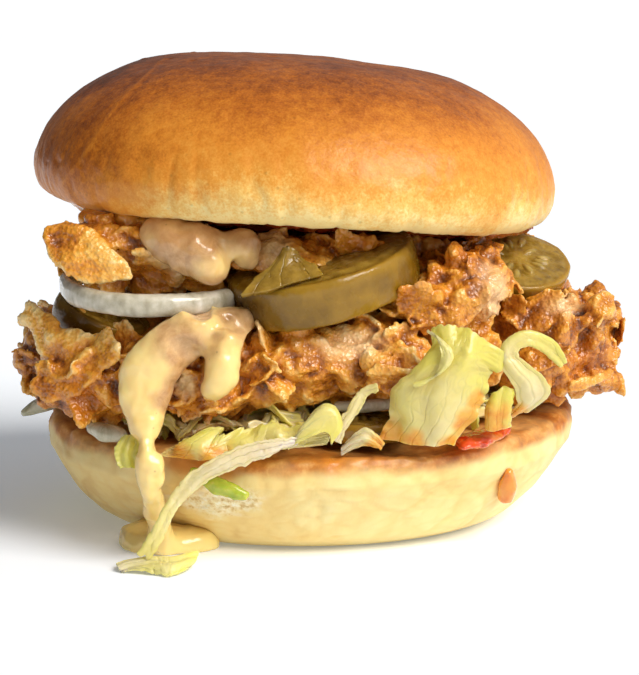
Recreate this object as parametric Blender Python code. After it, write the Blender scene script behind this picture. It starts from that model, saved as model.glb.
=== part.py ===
"""A loaded chicken burger: a domed bun, crisp fried chicken, pickles, onion, lettuce and two sauces.

Lengths are in millimetres until a shape becomes a mesh, which is in metres. +Z is up, +X is to the
right and the front of the burger faces -Y. The origin is the centre of the heel's flat underside.
"""

import math

import bmesh
import bpy
from mathutils import Euler, Matrix, Vector

MM = 0.001
GAP = 0.35  # free space kept between two pieces that touch

# Driving sizes
BUN_RADIUS = 53.7
HEEL_HEIGHT = 22.4  # at the middle of the heel's cut face
HEEL_RISE = (0.014, 0.045)  # slope of that face towards the right and towards the back
HEEL_BASE_RADIUS = 37.0
HEEL_WIDEST_AT = 16.0
CROWN_HEIGHT = 30.8
CROWN_WIDEST_AT = 6.0
CROWN_REST_HEIGHT = 62.6  # centre of the crown's cut face above the table
CROWN_TILT = 4.0  # degrees, the left side sits higher
CROWN_SHIFT = -3.9
SAUCE_BED = 2.6  # the sauce between the crown and the chicken
COIN_SIDES = 24
BUN_SIDES = 36


# ---------------------------------------------------------------- helpers

uncut_shapes = {}  # the mesh each trimmed object had before its first cut


def clear_scene():
    for obj in list(bpy.data.objects):
        bpy.data.objects.remove(obj)


def material(name, colour, roughness):
    made = bpy.data.materials.new(name)
    made.use_nodes = True
    shader = made.node_tree.nodes["Principled BSDF"]
    shader.inputs["Base Color"].default_value = (*colour, 1.0)
    shader.inputs["Roughness"].default_value = roughness
    shader.inputs["Metallic"].default_value = 0.0
    return made


def add_object(name, bm, finish):
    """A named object from a bmesh in millimetres, which is freed."""
    bmesh.ops.scale(bm, vec=(MM, MM, MM), verts=bm.verts)
    mesh = bpy.data.meshes.new(name)
    bm.to_mesh(mesh)
    bm.free()
    mesh.materials.append(finish)
    obj = bpy.data.objects.new(name, mesh)
    bpy.context.scene.collection.objects.link(obj)
    return obj


def keep_largest_body(bm):
    """Deletes the crumbs that a cut leaves beside the main body."""
    unseen = set(bm.verts)
    bodies = []
    while unseen:
        front = [unseen.pop()]
        body = set(front)
        while front:
            vert = front.pop()
            for edge in vert.link_edges:
                other = edge.other_vert(vert)
                if other in unseen:
                    unseen.discard(other)
                    body.add(other)
                    front.append(other)
        bodies.append(body)
    bodies.sort(key=len, reverse=True)
    for body in bodies[1:]:
        bmesh.ops.delete(bm, geom=list(body), context="VERTS")


def apply_modifiers(obj):
    """Bakes the modifiers into the mesh and keeps its one main body."""
    bpy.context.view_layer.update()
    graph = bpy.context.evaluated_depsgraph_get()
    baked = bpy.data.meshes.new_from_object(obj.evaluated_get(graph), depsgraph=graph)
    obj.modifiers.clear()
    bm = bmesh.new()
    bm.from_mesh(baked)
    bmesh.ops.remove_doubles(bm, verts=bm.verts, dist=0.00002)
    keep_largest_body(bm)
    bm.to_mesh(baked)
    bm.free()
    obj.data = baked


def trim(obj, neighbours):
    """Cuts obj back from each neighbour's uncut shape, so that GAP is left between them."""
    uncut_shapes.setdefault(obj.name, obj.data.copy())
    cutters = []
    for other in neighbours:
        cutter = other.copy()
        cutter.data = uncut_shapes.get(other.name, other.data).copy()
        cutter.name = "cutter_" + other.name
        cutter.hide_render = True
        cutter.display_type = "WIRE"
        bpy.context.scene.collection.objects.link(cutter)
        swell = cutter.modifiers.new("gap", "DISPLACE")
        swell.strength = GAP * MM
        swell.mid_level = 0.0
        apply_modifiers(cutter)
        cut = obj.modifiers.new("clear_" + other.name, "BOOLEAN")
        cut.operation = "DIFFERENCE"
        cut.solver = "EXACT"
        cut.object = cutter
        cutters.append(cutter)
    apply_modifiers(obj)
    for cutter in cutters:
        bpy.data.objects.remove(cutter)


def shade(obj):
    obj.data.shade_smooth()
    obj.data.set_sharp_from_angle(angle=math.radians(40))


def settle(obj, floor, ceiling=None):
    """Flattens what lies below floor(x, y) or above ceiling(x, y), as food settles on a flat face."""
    for vert in obj.data.vertices:
        x, y = vert.co.x / MM, vert.co.y / MM
        vert.co.z = max(vert.co.z, floor(x, y) * MM)
        if ceiling:
            vert.co.z = min(vert.co.z, ceiling(x, y) * MM)


# ---------------------------------------------------------------- buns

def turned_solid(rings, sides, outline):
    """A closed bmesh from (radius, height) rings, lowest first; outline(angle) scales each radius."""
    bm = bmesh.new()
    loops = []
    for radius, height in rings:
        loop = []
        for i in range(sides):
            angle = 2 * math.pi * i / sides
            reach = radius * outline(angle)
            loop.append(bm.verts.new((reach * math.cos(angle), reach * math.sin(angle), height)))
        loops.append(loop)
    for lower, upper in zip(loops, loops[1:]):
        for i in range(sides):
            j = (i + 1) % sides
            bm.faces.new((lower[i], lower[j], upper[j], upper[i]))
    bm.faces.new(list(reversed(loops[0])))
    bm.faces.new(loops[-1])
    return bm


def heel_rings(steps=8):
    """Flat base, a side that swells outwards, and a rim that turns in under the cut face."""
    rings = []
    for i in range(steps + 1):
        share = (i / steps) ** 1.6
        swell = share ** 0.5
        rings.append((HEEL_BASE_RADIUS + (BUN_RADIUS - HEEL_BASE_RADIUS) * swell, HEEL_WIDEST_AT * share))
    rings.append((BUN_RADIUS - 0.3, HEEL_HEIGHT - 2.0))
    rings.append((BUN_RADIUS - 1.3, HEEL_HEIGHT - 0.4))
    rings.append((BUN_RADIUS - 3.0, HEEL_HEIGHT))
    return rings


def crown_rings(steps=10):
    """Cut face, a rim that turns out, and a broad dome."""
    rings = [(BUN_RADIUS - 4.5, 0.0), (BUN_RADIUS - 2.4, 0.7), (BUN_RADIUS - 0.8, 2.8)]
    for i in range(steps):
        share = math.sin(math.pi / 2 * (1 - i / steps))
        height = (1 - share ** 3) ** 0.55
        rings.append((BUN_RADIUS * share, CROWN_WIDEST_AT + (CROWN_HEIGHT - CROWN_WIDEST_AT) * height))
    return rings


def heel_outline(angle):
    return 1 + 0.008 * math.cos(2 * angle + 0.6) + 0.006 * math.cos(3 * angle + 1.0)


def crown_outline(angle):
    return 0.992 + 0.010 * math.cos(2 * angle + 2.2) + 0.006 * math.cos(5 * angle)


def heel_top(x, y):
    """Height of the heel's cut face above the table."""
    return HEEL_HEIGHT + HEEL_RISE[0] * x + HEEL_RISE[1] * y


def crown_underside(x):
    """Height of the crown's cut face above the table."""
    return CROWN_REST_HEIGHT - math.tan(math.radians(CROWN_TILT)) * (x - CROWN_SHIFT)


def make_heel(finish):
    bm = turned_solid(heel_rings(), BUN_SIDES, heel_outline)
    for vert in bm.verts:
        share = vert.co.z / HEEL_HEIGHT
        vert.co.z *= heel_top(vert.co.x, vert.co.y) / HEEL_HEIGHT
        vert.co.x -= 1.5 * (1 - share)
    return add_object("heel", bm, finish)


def make_crown(finish):
    crown = add_object("crown", turned_solid(crown_rings(), BUN_SIDES, crown_outline), finish)
    place = Matrix.Translation(Vector((CROWN_SHIFT, 0, CROWN_REST_HEIGHT)) * MM)
    crown.data.transform(place @ Matrix.Rotation(math.radians(CROWN_TILT), 4, "Y"))
    return crown


# ---------------------------------------------------------------- rounded and lumpy food

def lumps(name, balls, finish, triangles, voxel=1.5, crags=0.0):
    """One rounded solid from overlapping ellipsoids: (x, y, z, radius x, radius y, radius z)."""
    bm = bmesh.new()
    for x, y, z, rx, ry, rz in balls:
        place = Matrix.Translation((x, y, z)) @ Matrix.Diagonal((rx, ry, rz, 1.0))
        bmesh.ops.create_icosphere(bm, subdivisions=3, radius=1.0, matrix=place)
    obj = add_object(name, bm, finish)
    skin = obj.modifiers.new("one_skin", "REMESH")
    skin.mode = "VOXEL"
    skin.voxel_size = voxel * MM
    if crags:
        crust = bpy.data.textures.new(name + "_crags", "CLOUDS")
        crust.noise_scale = 0.009
        crust.noise_depth = 1
        rough = obj.modifiers.new("crags", "DISPLACE")
        rough.texture = crust
        rough.strength = crags * MM
        rough.mid_level = 0.5
    else:
        soft = obj.modifiers.new("soft", "SMOOTH")
        soft.factor = 0.6
        soft.iterations = 3
    apply_modifiers(obj)
    faces = len(obj.data.polygons) * 2
    fewer = obj.modifiers.new("fewer", "DECIMATE")
    fewer.ratio = min(1.0, triangles / faces)
    apply_modifiers(obj)
    return obj


def trail(points, step=1.6):
    """Ellipsoids close together along a path of (x, y, z, half width, half depth)."""
    balls = []
    for (x0, y0, z0, w0, d0), (x1, y1, z1, w1, d1) in zip(points, points[1:]):
        length = math.dist((x0, y0, z0), (x1, y1, z1))
        count = max(1, round(length / step))
        for i in range(count + 1):
            t = i / count
            w = w0 + (w1 - w0) * t
            d = d0 + (d1 - d0) * t
            balls.append((x0 + (x1 - x0) * t, y0 + (y1 - y0) * t, z0 + (z1 - z0) * t, w, d, w))
    return balls


def make_lower_fillet(finish):
    """The large piece across the burger, with a ragged end that sticks out on the left."""
    balls = [
        (-6, 4, 38.0, 44, 42, 11.5),
        (-40, -30, 33.0, 13, 14, 9.5),
        (-22, -35, 34.0, 14, 14, 9.5),
        (-4, -37, 36.5, 14, 12, 9.5),
        (14, -36, 36.0, 14, 13, 9.0),
        (-52, -14, 36.5, 7, 9, 6.5),
        (-56, -12, 32.0, 6, 8, 5.0),
        (-50, 14, 34.0, 9, 14, 6.0),
        (-24, 34, 35.0, 18, 14, 8.5),
        (12, 34, 36.0, 18, 14, 9.0),
        (26, -8, 34.0, 14, 28, 8.0),
    ]
    return lumps("chicken_lower", balls, finish, 520, crags=3.0)


def make_middle_piece(finish):
    """A piece that stands up behind the leaf, leaning to the right."""
    balls = [
        (23, -37, 46.0, 9, 8, 7.0),
        (29, -34, 49.5, 9, 9, 7.5),
        (33, -28, 52.5, 6, 8, 6.0),
        (18, -39, 43.0, 7, 6, 5.5),
        (25, -24, 48.0, 10, 10, 6.0),
    ]
    return lumps("chicken_middle", balls, finish, 240, crags=1.6)


def make_right_piece(finish):
    """The knobbly end that reaches past the bun on the right."""
    balls = [
        (46, -14, 40.0, 10, 13, 9.0),
        (55, -4, 35.0, 9, 15, 9.5),
        (50, 10, 38.0, 11, 16, 9.0),
        (60.5, -2, 41.0, 4.6, 6, 4.5),
        (46, -20, 32.0, 9, 10, 6.5),
        (58, -10, 29.5, 8, 9, 4.5),
        (40, 2, 42.0, 9, 16, 7.0),
    ]
    return lumps("chicken_right", balls, finish, 360, crags=2.4)


def make_upper_fillet(finish):
    """The flatter piece under the crown, with a crisp wing at the front left."""
    balls = [
        (-14, 2, 54.5, 38, 39, 7.0),
        (-43, -24, 55.5, 9, 10, 4.5),
        (-39, -30, 53.0, 8, 7, 4.0),
        (-34, -33, 57.5, 8, 7, 4.5),
        (-22, -30, 54.0, 11, 9, 4.5),
        (-5, -36, 56.0, 11, 7, 4.5),
        (10, -34, 57.5, 9, 7, 3.5),
        (20, 6, 54.0, 26, 32, 6.5),
    ]
    piece = lumps("chicken_upper", balls, finish, 340, crags=1.6)
    settle(piece, lambda x, y: 0.0, lambda x, y: crown_underside(x) - SAUCE_BED)
    return piece


# ---------------------------------------------------------------- pickles and onion

def coin(name, centre, radius, thickness, tilt, finish):
    """A pickle slice: a round slab with softened edges. tilt is degrees about X, then about Y."""
    bm = bmesh.new()
    bmesh.ops.create_cone(
        bm, cap_ends=True, segments=COIN_SIDES, radius1=radius, radius2=radius, depth=thickness
    )
    rims = [e for e in bm.edges if abs(e.verts[0].co.z - e.verts[1].co.z) < 1e-6]
    bmesh.ops.bevel(bm, geom=rims, offset=0.14 * thickness, segments=1, affect="EDGES")
    for vert in bm.verts:
        angle = math.atan2(vert.co.y, vert.co.x)
        swell = 1 + 0.02 * math.cos(3 * angle + radius) + 0.015 * math.cos(2 * angle)
        vert.co.x *= swell
        vert.co.y *= swell
    turn = Euler((math.radians(tilt[0]), math.radians(tilt[1]), 0)).to_matrix().to_4x4()
    bmesh.ops.transform(bm, matrix=Matrix.Translation(centre) @ turn, verts=bm.verts)
    return add_object(name, bm, finish)


def onion_band(name, centre, radius, wall, height, start, end, tilt, finish, steps=18):
    """Part of an onion ring: a bowed strip of its wall, from one angle to another, thinner at its ends."""
    bm = bmesh.new()
    section = [(-0.5, -0.3), (-0.3, -0.5), (0.3, -0.5), (0.5, -0.3), (0.5, 0.3), (0.3, 0.5), (-0.3, 0.5), (-0.5, 0.3)]
    loops = []
    for i in range(steps + 1):
        share = i / steps
        angle = math.radians(start + (end - start) * share)
        taper = 0.55 + 0.45 * min(1.0, 6 * min(share, 1 - share))
        loop = []
        for across, up in section:
            bow = 0.5 * (1 - (2 * up) ** 2)
            reach = radius + wall * (across + bow * 0.6)
            loop.append(bm.verts.new((reach * math.cos(angle), reach * math.sin(angle), height * up * taper)))
        loops.append(loop)
    for first, second in zip(loops, loops[1:]):
        for i in range(len(section)):
            j = (i + 1) % len(section)
            bm.faces.new((first[i], first[j], second[j], second[i]))
    bm.faces.new(list(reversed(loops[0])))
    bm.faces.new(loops[-1])
    bmesh.ops.recalc_face_normals(bm, faces=bm.faces)
    turn = Euler((math.radians(tilt[0]), math.radians(tilt[1]), 0)).to_matrix().to_4x4()
    bmesh.ops.transform(bm, matrix=Matrix.Translation(centre) @ turn, verts=bm.verts)
    return add_object(name, bm, finish)


# ---------------------------------------------------------------- lettuce

def spline_point(points, t):
    """A point on the smooth curve through the points, t from 0 to 1."""
    last = len(points) - 1
    place = min(t * last, last - 1e-9)
    i = int(place)
    s = place - i
    p0, p1, p2, p3 = (Vector(points[min(max(i + k, 0), last)]) for k in (-1, 0, 1, 2))
    return 0.5 * (2 * p1 + (p2 - p0) * s + (2 * p0 - 5 * p1 + 4 * p2 - p3) * s ** 2
                  + (3 * p1 - p0 - 3 * p2 + p3) * s ** 3)


def leaf(name, rows, finish, across=5, along=8, thickness=0.9):
    """A leaf as a smooth sheet through rows of points, given a thickness."""
    bm = bmesh.new()
    grid = []
    for i in range(along + 1):
        row = [spline_point([r[k] for r in rows], i / along) for k in range(len(rows[0]))]
        grid.append([bm.verts.new(spline_point(row, j / across)) for j in range(across + 1)])
    for first, second in zip(grid, grid[1:]):
        for j in range(across):
            bm.faces.new((first[j], first[j + 1], second[j + 1], second[j]))
    obj = add_object(name, bm, finish)
    body = obj.modifiers.new("thickness", "SOLIDIFY")
    body.thickness = thickness * MM
    body.offset = 0.0
    apply_modifiers(obj)
    bm = bmesh.new()
    bm.from_mesh(obj.data)
    bmesh.ops.recalc_face_normals(bm, faces=bm.faces)
    bm.to_mesh(obj.data)
    bm.free()
    return obj


def ribbon(name, line, finish, along=12, thickness=0.9):
    """A shred of lettuce: line holds (x, y, z, half width, turn), where turn leans the width in degrees."""
    rows = []
    for x, y, z, half, turn in line:
        lean = math.radians(turn)
        side = Vector((math.cos(lean), 0, math.sin(lean))) * half
        rows.append([Vector((x, y, z)) - side, Vector((x, y - 0.15 * half, z)), Vector((x, y, z)) + side])
    return leaf(name, rows, finish, across=3, along=along, thickness=thickness)


def make_front_leaf(finish):
    """The large piece that stands on the heel and leans on the chicken, folded down its middle."""
    rows = [
        [(13.3, -49, 23.6), (17.3, -51, 23.0), (21.8, -52, 22.6), (25.6, -50.5, 22.8)],
        [(14.6, -50, 27.6), (19.0, -53, 27.4), (23.6, -53, 26.8), (29.3, -50.5, 27.2)],
        [(14.8, -51, 32.4), (19.5, -54, 32.4), (25.3, -54, 32.0), (31.6, -50.5, 32.0)],
        [(18.0, -52, 36.0), (21.6, -54, 37.0), (26.7, -55, 37.0), (31.8, -50.5, 36.0)],
        [(21.0, -52, 39.6), (24.3, -54, 40.8), (28.2, -55, 41.2), (34.6, -50.5, 38.6)],
        [(21.8, -51, 43.6), (25.3, -52, 44.8), (28.8, -53, 44.4), (35.8, -50.5, 41.0)],
    ]
    return leaf("lettuce_front", rows, finish)


def make_folded_leaf(finish):
    """Pleated lettuce pushed out over the heel's rim on the left."""
    rows = [
        [(-28.0, -51.5, 20.6), (-20.0, -54.0, 20.4), (-12.0, -54.5, 21.4), (-4.0, -53.5, 22.4), (3.0, -52.6, 23.0)],
        [(-25.5, -52.0, 22.6), (-18.5, -54.0, 22.8), (-11.5, -53.0, 23.6), (-3.5, -53.0, 24.2), (3.4, -51.8, 24.6)],
        [(-21.0, -50.5, 25.0), (-15.0, -51.5, 25.6), (-9.5, -50.8, 25.6), (-2.5, -51.0, 26.0), (3.6, -50.8, 26.6)],
    ]
    return leaf("lettuce_folded", rows, finish, across=10, along=4, thickness=0.9)


# ---------------------------------------------------------------- the whole burger

def build():
    clear_scene()
    crust = material("bun_crust", (0.62, 0.26, 0.06), 0.35)
    heel_skin = material("heel_skin", (0.86, 0.66, 0.28), 0.55)
    fried = material("fried_coating", (0.60, 0.24, 0.05), 0.45)
    pickle = material("pickle", (0.34, 0.26, 0.05), 0.2)
    onion = material("onion", (0.62, 0.56, 0.42), 0.3)
    green = material("lettuce", (0.68, 0.62, 0.20), 0.4)
    cream = material("cream_sauce", (0.90, 0.62, 0.24), 0.15)
    chilli = material("chilli_sauce", (0.50, 0.09, 0.01), 0.1)

    heel = make_heel(heel_skin)
    crown = make_crown(crust)

    # Slices laid between the chicken pieces and on the heel
    pickle_front = coin("pickle_front", (2.0, -33.5, 51.6), 18.0, 8.4, (10, -12.5), pickle)
    pickle_right = coin("pickle_right", (40.4, -11.0, 51.6), 11.2, 7.0, (12, 13), pickle)
    pickle_left = coin("pickle_left", (-41.0, -20.0, 40.8), 9.4, 5.0, (12, 22), pickle)
    pickle_low = coin("pickle_low", (9.5, -37.0, 23.8), 10.0, 4.6, (2, 0), pickle)
    onion_ring = onion_band(
        "onion_ring", (-31.5, -27.5, 49.4), 19.6, 2.4, 4.0, 120, 368, (4, 1.5), onion
    )
    onion_sliver = lumps(
        "onion_sliver", trail([(-59.2, -8, 20.6, 0.9, 1.4), (-56.5, -8, 22.0, 1.5, 2.4), (-50.5, -8, 23.8, 1.6, 3.0),
                               (-45.0, -8, 24.2, 1.6, 3.0)]), onion, 140, voxel=0.7
    )
    onion_bit = lumps(
        "onion_bit", trail([(-42.0, -37.5, 23.2, 1.3, 1.6), (-39.2, -38.5, 22.4, 2.0, 2.2), (-36.4, -39.0, 22.2, 1.5, 2.0)]),
        onion, 120, voxel=0.7
    )
    onion_strip = lumps(
        "onion_strip", trail([(5.0, -41, 28.0, 1.2, 1.4), (10.0, -42, 28.2, 1.5, 1.5), (18.0, -41, 29.0, 1.3, 1.5)]),
        onion, 140, voxel=0.7
    )
    trim(onion_ring, [pickle_front, pickle_left])
    trim(onion_strip, [heel, pickle_low])
    trim(onion_sliver, [heel])
    trim(onion_bit, [heel])

    # Chicken, pressed round the slices
    slices = [pickle_front, pickle_right, pickle_left, pickle_low, onion_ring, onion_sliver, onion_bit, onion_strip]
    lower = make_lower_fillet(fried)
    trim(lower, [heel, pickle_front, pickle_left, pickle_low, onion_ring, onion_bit, onion_strip, onion_sliver])
    middle = make_middle_piece(fried)
    trim(middle, [crown, pickle_front, pickle_right, lower])
    right = make_right_piece(fried)
    trim(right, [heel, crown, pickle_right, lower, middle])
    upper = make_upper_fillet(fried)
    trim(upper, [crown, pickle_front, pickle_left, pickle_right, onion_ring, lower, middle, right])
    chicken = [lower, middle, right, upper]

    # Lettuce: the bed on the heel, then the pieces that stick out
    bed_balls = [(0, 0, 24.0, 45, 44, 4.6)]
    for i in range(18):
        angle = 2 * math.pi * i / 18
        reach = 40.5 + 2.0 * math.cos(3 * angle)
        height = 23.6 + 0.8 * math.sin(5 * angle)
        bed_balls.append((reach * math.cos(angle), reach * math.sin(angle), height, 7.5, 7.5, 3.2))
    bed = lumps("lettuce_bed", bed_balls, green, 280, crags=1.2)
    settle(bed, lambda x, y: heel_top(x, y) + GAP)
    trim(bed, [lower, right, pickle_low, onion_sliver, onion_bit, onion_strip])

    front_leaf = make_front_leaf(green)
    trim(front_leaf, [heel, bed, lower, middle, right, pickle_low, onion_strip])
    folded = make_folded_leaf(green)
    trim(folded, [heel, bed, lower])
    curl = ribbon(
        "lettuce_curl",
        [(38.2, -45.5, 27.6, 2.2, 20), (41.0, -48.0, 31.4, 3.6, 25), (38.6, -50.0, 35.6, 2.6, 35),
         (36.2, -50.5, 38.8, 2.0, 10), (37.0, -50.5, 41.4, 1.4, -60), (40.2, -50.0, 42.2, 1.5, -85),
         (43.8, -48.5, 40.2, 1.4, -125), (46.4, -47.0, 36.8, 0.9, -145)],
        green,
    )
    trim(curl, [heel, bed, lower, middle, right, front_leaf])
    flap = leaf(
        "lettuce_flap",
        [[(32.4, -48.4, 25.2), (35.0, -48.6, 25.0), (37.0, -47.4, 25.6)],
         [(32.2, -49.4, 28.8), (34.8, -50.0, 28.8), (37.2, -48.8, 29.2)],
         [(32.8, -48.8, 30.6), (35.6, -49.6, 33.4), (38.0, -48.6, 32.2)]],
        green, across=4, along=5,
    )
    trim(flap, [heel, bed, lower, right, front_leaf, curl])
    tube = ribbon(
        "lettuce_tube",
        [(-2.6, -55.4, 23.6, 1.8, -30), (-1.5, -55.8, 26.4, 1.6, -12), (-0.6, -55.8, 28.8, 1.2, -45),
         (1.6, -55.6, 30.0, 1.0, -90), (3.7, -55.0, 28.8, 1.0, -135), (4.4, -54.8, 26.6, 1.1, -175)],
        green, along=8, thickness=0.7,
    )
    trim(tube, [heel, bed, lower, folded])
    edge = ribbon(
        "lettuce_edge",
        [(4.4, -52.4, 23.8, 1.3, -25), (6.0, -52.6, 26.8, 1.3, -30), (8.2, -52.0, 30.0, 1.2, -35), (9.8, -51.6, 32.4, 0.9, -50),
         (12.2, -51.8, 33.4, 0.7, -80)],
        green, along=9, thickness=0.7,
    )
    trim(edge, [heel, bed, lower, folded, tube, front_leaf])
    rib = ribbon(
        "lettuce_rib",
        [(5.6, -50.8, 21.6, 0.8, 80), (9.6, -51.0, 24.0, 1.6, 80), (13.0, -51.2, 22.2, 0.8, 60)],
        green, along=6,
    )
    trim(rib, [heel, bed, lower, pickle_low, front_leaf, edge, folded])
    frill = ribbon(
        "lettuce_frill",
        [(-33.4, -49.6, 24.2, 1.4, 10), (-34.2, -50.4, 21.4, 2.2, 5), (-33.4, -50.8, 18.2, 1.6, 0)],
        green, along=5,
    )
    trim(frill, [heel, bed, lower, onion_bit])
    strip = ribbon(
        "lettuce_strip",
        [(0.0, -56.6, 24.6, 1.2, 80), (-6.0, -57.4, 23.8, 1.7, 90), (-12.0, -57.8, 22.2, 1.8, 105), (-18.0, -57.8, 19.2, 1.6, 125),
         (-22.4, -57.2, 15.2, 1.5, 140), (-24.8, -56.0, 10.6, 1.5, 148), (-26.8, -54.8, 6.2, 1.6, 150), (-28.6, -54.0, 3.6, 1.6, 145)],
        green, along=14, thickness=0.8,
    )
    trim(strip, [heel, folded, tube])
    floor_leaf = leaf(
        "lettuce_floor",
        [[(-36.0, -54.0, 1.2), (-35.2, -57.0, 0.9), (-34.0, -58.0, 0.9)],
         [(-31.0, -52.0, 1.6), (-30.0, -56.0, 1.8), (-29.0, -59.4, 0.9)],
         [(-26.0, -52.0, 1.5), (-25.6, -56.6, 1.8), (-25.4, -61.0, 0.9)],
         [(-20.8, -50.6, 2.0), (-21.2, -53.0, 1.8), (-22.2, -56.0, 1.0)]],
        green, across=5, along=8, thickness=0.8,
    )
    trim(floor_leaf, [strip])
    green_bit = lumps(
        "lettuce_bit", trail([(-21.6, -52.4, 17.6, 1.2, 0.9), (-17.0, -54.2, 15.4, 1.9, 0.9), (-12.6, -54.8, 14.0, 1.3, 0.9)]),
        green, 140, voxel=0.6
    )
    trim(green_bit, [heel, strip, folded])
    leaves = [bed, front_leaf, folded, curl, flap, tube, edge, rib, frill, strip, floor_leaf, green_bit]

    # Sauces, which fill round everything else
    flow = (
        trail([(-12.5, -45.5, 47.2, 2.6, 3.0), (-17.0, -47.5, 46.0, 3.6, 3.2), (-22.0, -49.0, 43.4, 4.4, 3.0),
               (-27.0, -49.5, 39.6, 4.8, 3.0), (-30.4, -49.0, 35.4, 5.2, 3.2), (-31.0, -49.5, 31.0, 4.6, 3.2),
               (-30.8, -50.5, 27.2, 3.2, 2.8), (-30.4, -52.0, 24.2, 1.5, 1.9), (-30.2, -53.4, 22.2, 1.5, 1.8),
               (-29.8, -53.4, 19.4, 2.8, 2.2), (-29.6, -52.2, 14.6, 2.0, 2.4), (-29.0, -49.0, 9.0, 1.9, 2.4),
               (-28.4, -46.0, 3.5, 2.4, 2.6)])
        + trail([(-14.0, -46.5, 46.0, 3.0, 3.0), (-16.0, -49.0, 42.4, 3.4, 3.0), (-16.2, -50.2, 38.6, 2.9, 3.0),
                 (-16.6, -50.5, 35.4, 3.2, 3.0), (-18.0, -50.8, 33.2, 2.4, 2.4)])
        + [(-27.5, -36.5, 0.8, 10.0, 9.0, 2.6), (-22.5, -38.5, 0.8, 5.0, 5.0, 2.2)]
    )
    cream_flow = lumps("cream_flow", flow, cream, 440, voxel=1.0)
    settle(cream_flow, lambda x, y: 0.05)
    trim(cream_flow, [heel, *chicken, *slices, bed, folded, frill, strip, floor_leaf, tube])
    cream_top = lumps(
        "cream_top",
        trail([(-30.0, -40.5, 60.5, 3.0, 3.0), (-26.0, -42.0, 59.6, 4.2, 3.5), (-21.5, -43.5, 58.2, 4.6, 3.5),
               (-18.6, -44.0, 55.2, 3.6, 3.0)])
        + trail([(-21.5, -43.0, 60.0, 3.2, 3.0), (-15.5, -42.0, 59.0, 1.8, 2.0), (-12.4, -41.5, 58.6, 3.4, 3.0),
                 (-11.6, -41.5, 55.6, 2.0, 2.0)]),
        cream, 300, voxel=0.9,
    )
    trim(cream_top, [crown, *chicken, pickle_front, onion_ring, cream_flow])
    chilli_balls = [(x, -2, crown_underside(x), 16, 38 - 0.4 * abs(x + 6), 4.0) for x in range(-34, 31, 8)]
    chilli_balls += trail([(14, -42, 59.6, 3.4, 2.6), (21.4, -42, 57.0, 3.4, 2.6), (22.0, -42.5, 51.5, 2.4, 2.2)])
    chilli_balls += trail([(20, -38, 59.8, 3.6, 3.0), (28.0, -34, 58.6, 3.2, 3.0), (29.4, -34.0, 55.0, 2.2, 2.2)])
    chilli_balls += trail([(-34, -34, 62.6, 4.0, 3.5), (-41, -28, 62.4, 4.0, 3.0), (-39.5, -31.5, 58.6, 3.0, 2.4)])
    chilli_layer = lumps("chilli_layer", chilli_balls, chilli, 260, voxel=1.2)
    settle(chilli_layer, lambda x, y: 0.0, lambda x, y: crown_underside(x) - GAP)
    trim(chilli_layer, [*chicken, pickle_front, pickle_right, onion_ring, cream_top])
    chilli_pool = lumps(
        "chilli_pool",
        trail([(28.6, -48.6, 22.4, 1.4, 1.4), (33.0, -48.2, 23.0, 1.8, 1.8), (38.4, -44.6, 23.6, 1.6, 1.8)]),
        chilli, 160, voxel=0.6,
    )
    trim(chilli_pool, [heel, bed, lower, right, front_leaf, flap, curl])
    chilli_drop = lumps(
        "chilli_drop",
        trail([(37.6, -38.6, 14.6, 1.1, 1.2), (37.6, -37.6, 12.0, 1.9, 1.6), (37.4, -36.0, 9.6, 1.7, 1.6)]),
        chilli, 140, voxel=0.6,
    )
    trim(chilli_drop, [heel])
    sauces = [cream_flow, cream_top, chilli_layer, chilli_pool, chilli_drop]

    for obj in [heel, crown, *slices, *chicken, *leaves, *sauces]:
        shade(obj)


build()
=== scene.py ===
import math
import random

import bmesh
import bpy
import numpy as np
from mathutils import Matrix, Vector
from mathutils.bvhtree import BVHTree


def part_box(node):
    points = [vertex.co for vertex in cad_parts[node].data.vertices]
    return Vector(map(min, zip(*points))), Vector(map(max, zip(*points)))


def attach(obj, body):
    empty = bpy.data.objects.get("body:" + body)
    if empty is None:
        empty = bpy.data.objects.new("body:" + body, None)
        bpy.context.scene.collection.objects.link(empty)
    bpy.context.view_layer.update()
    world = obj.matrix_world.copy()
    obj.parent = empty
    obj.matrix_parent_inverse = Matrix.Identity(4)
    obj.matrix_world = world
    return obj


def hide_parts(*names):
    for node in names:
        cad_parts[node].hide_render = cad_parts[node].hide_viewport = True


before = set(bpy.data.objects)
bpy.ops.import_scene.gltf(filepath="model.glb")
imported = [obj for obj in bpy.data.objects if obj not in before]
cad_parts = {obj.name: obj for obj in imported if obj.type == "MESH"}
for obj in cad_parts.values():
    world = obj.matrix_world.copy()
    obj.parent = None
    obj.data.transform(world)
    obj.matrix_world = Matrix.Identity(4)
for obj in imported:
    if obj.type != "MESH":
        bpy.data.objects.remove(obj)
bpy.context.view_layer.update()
mm = 0.001  # sizes below are in millimetres
print("frame loaded")


# Noise on arrays of points, so that a dense mesh is shaped in a moment

def hashed(ix, iy, iz, seed):
    n = (ix * 374761393 + iy * 668265263 + iz * 1440662683 + seed * 974634777) & 0xFFFFFFFF
    n = ((n ^ (n >> 13)) * 1274126177) & 0xFFFFFFFF
    return ((n ^ (n >> 16)) & 0xFFFFFF) / 0xFFFFFF


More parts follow.
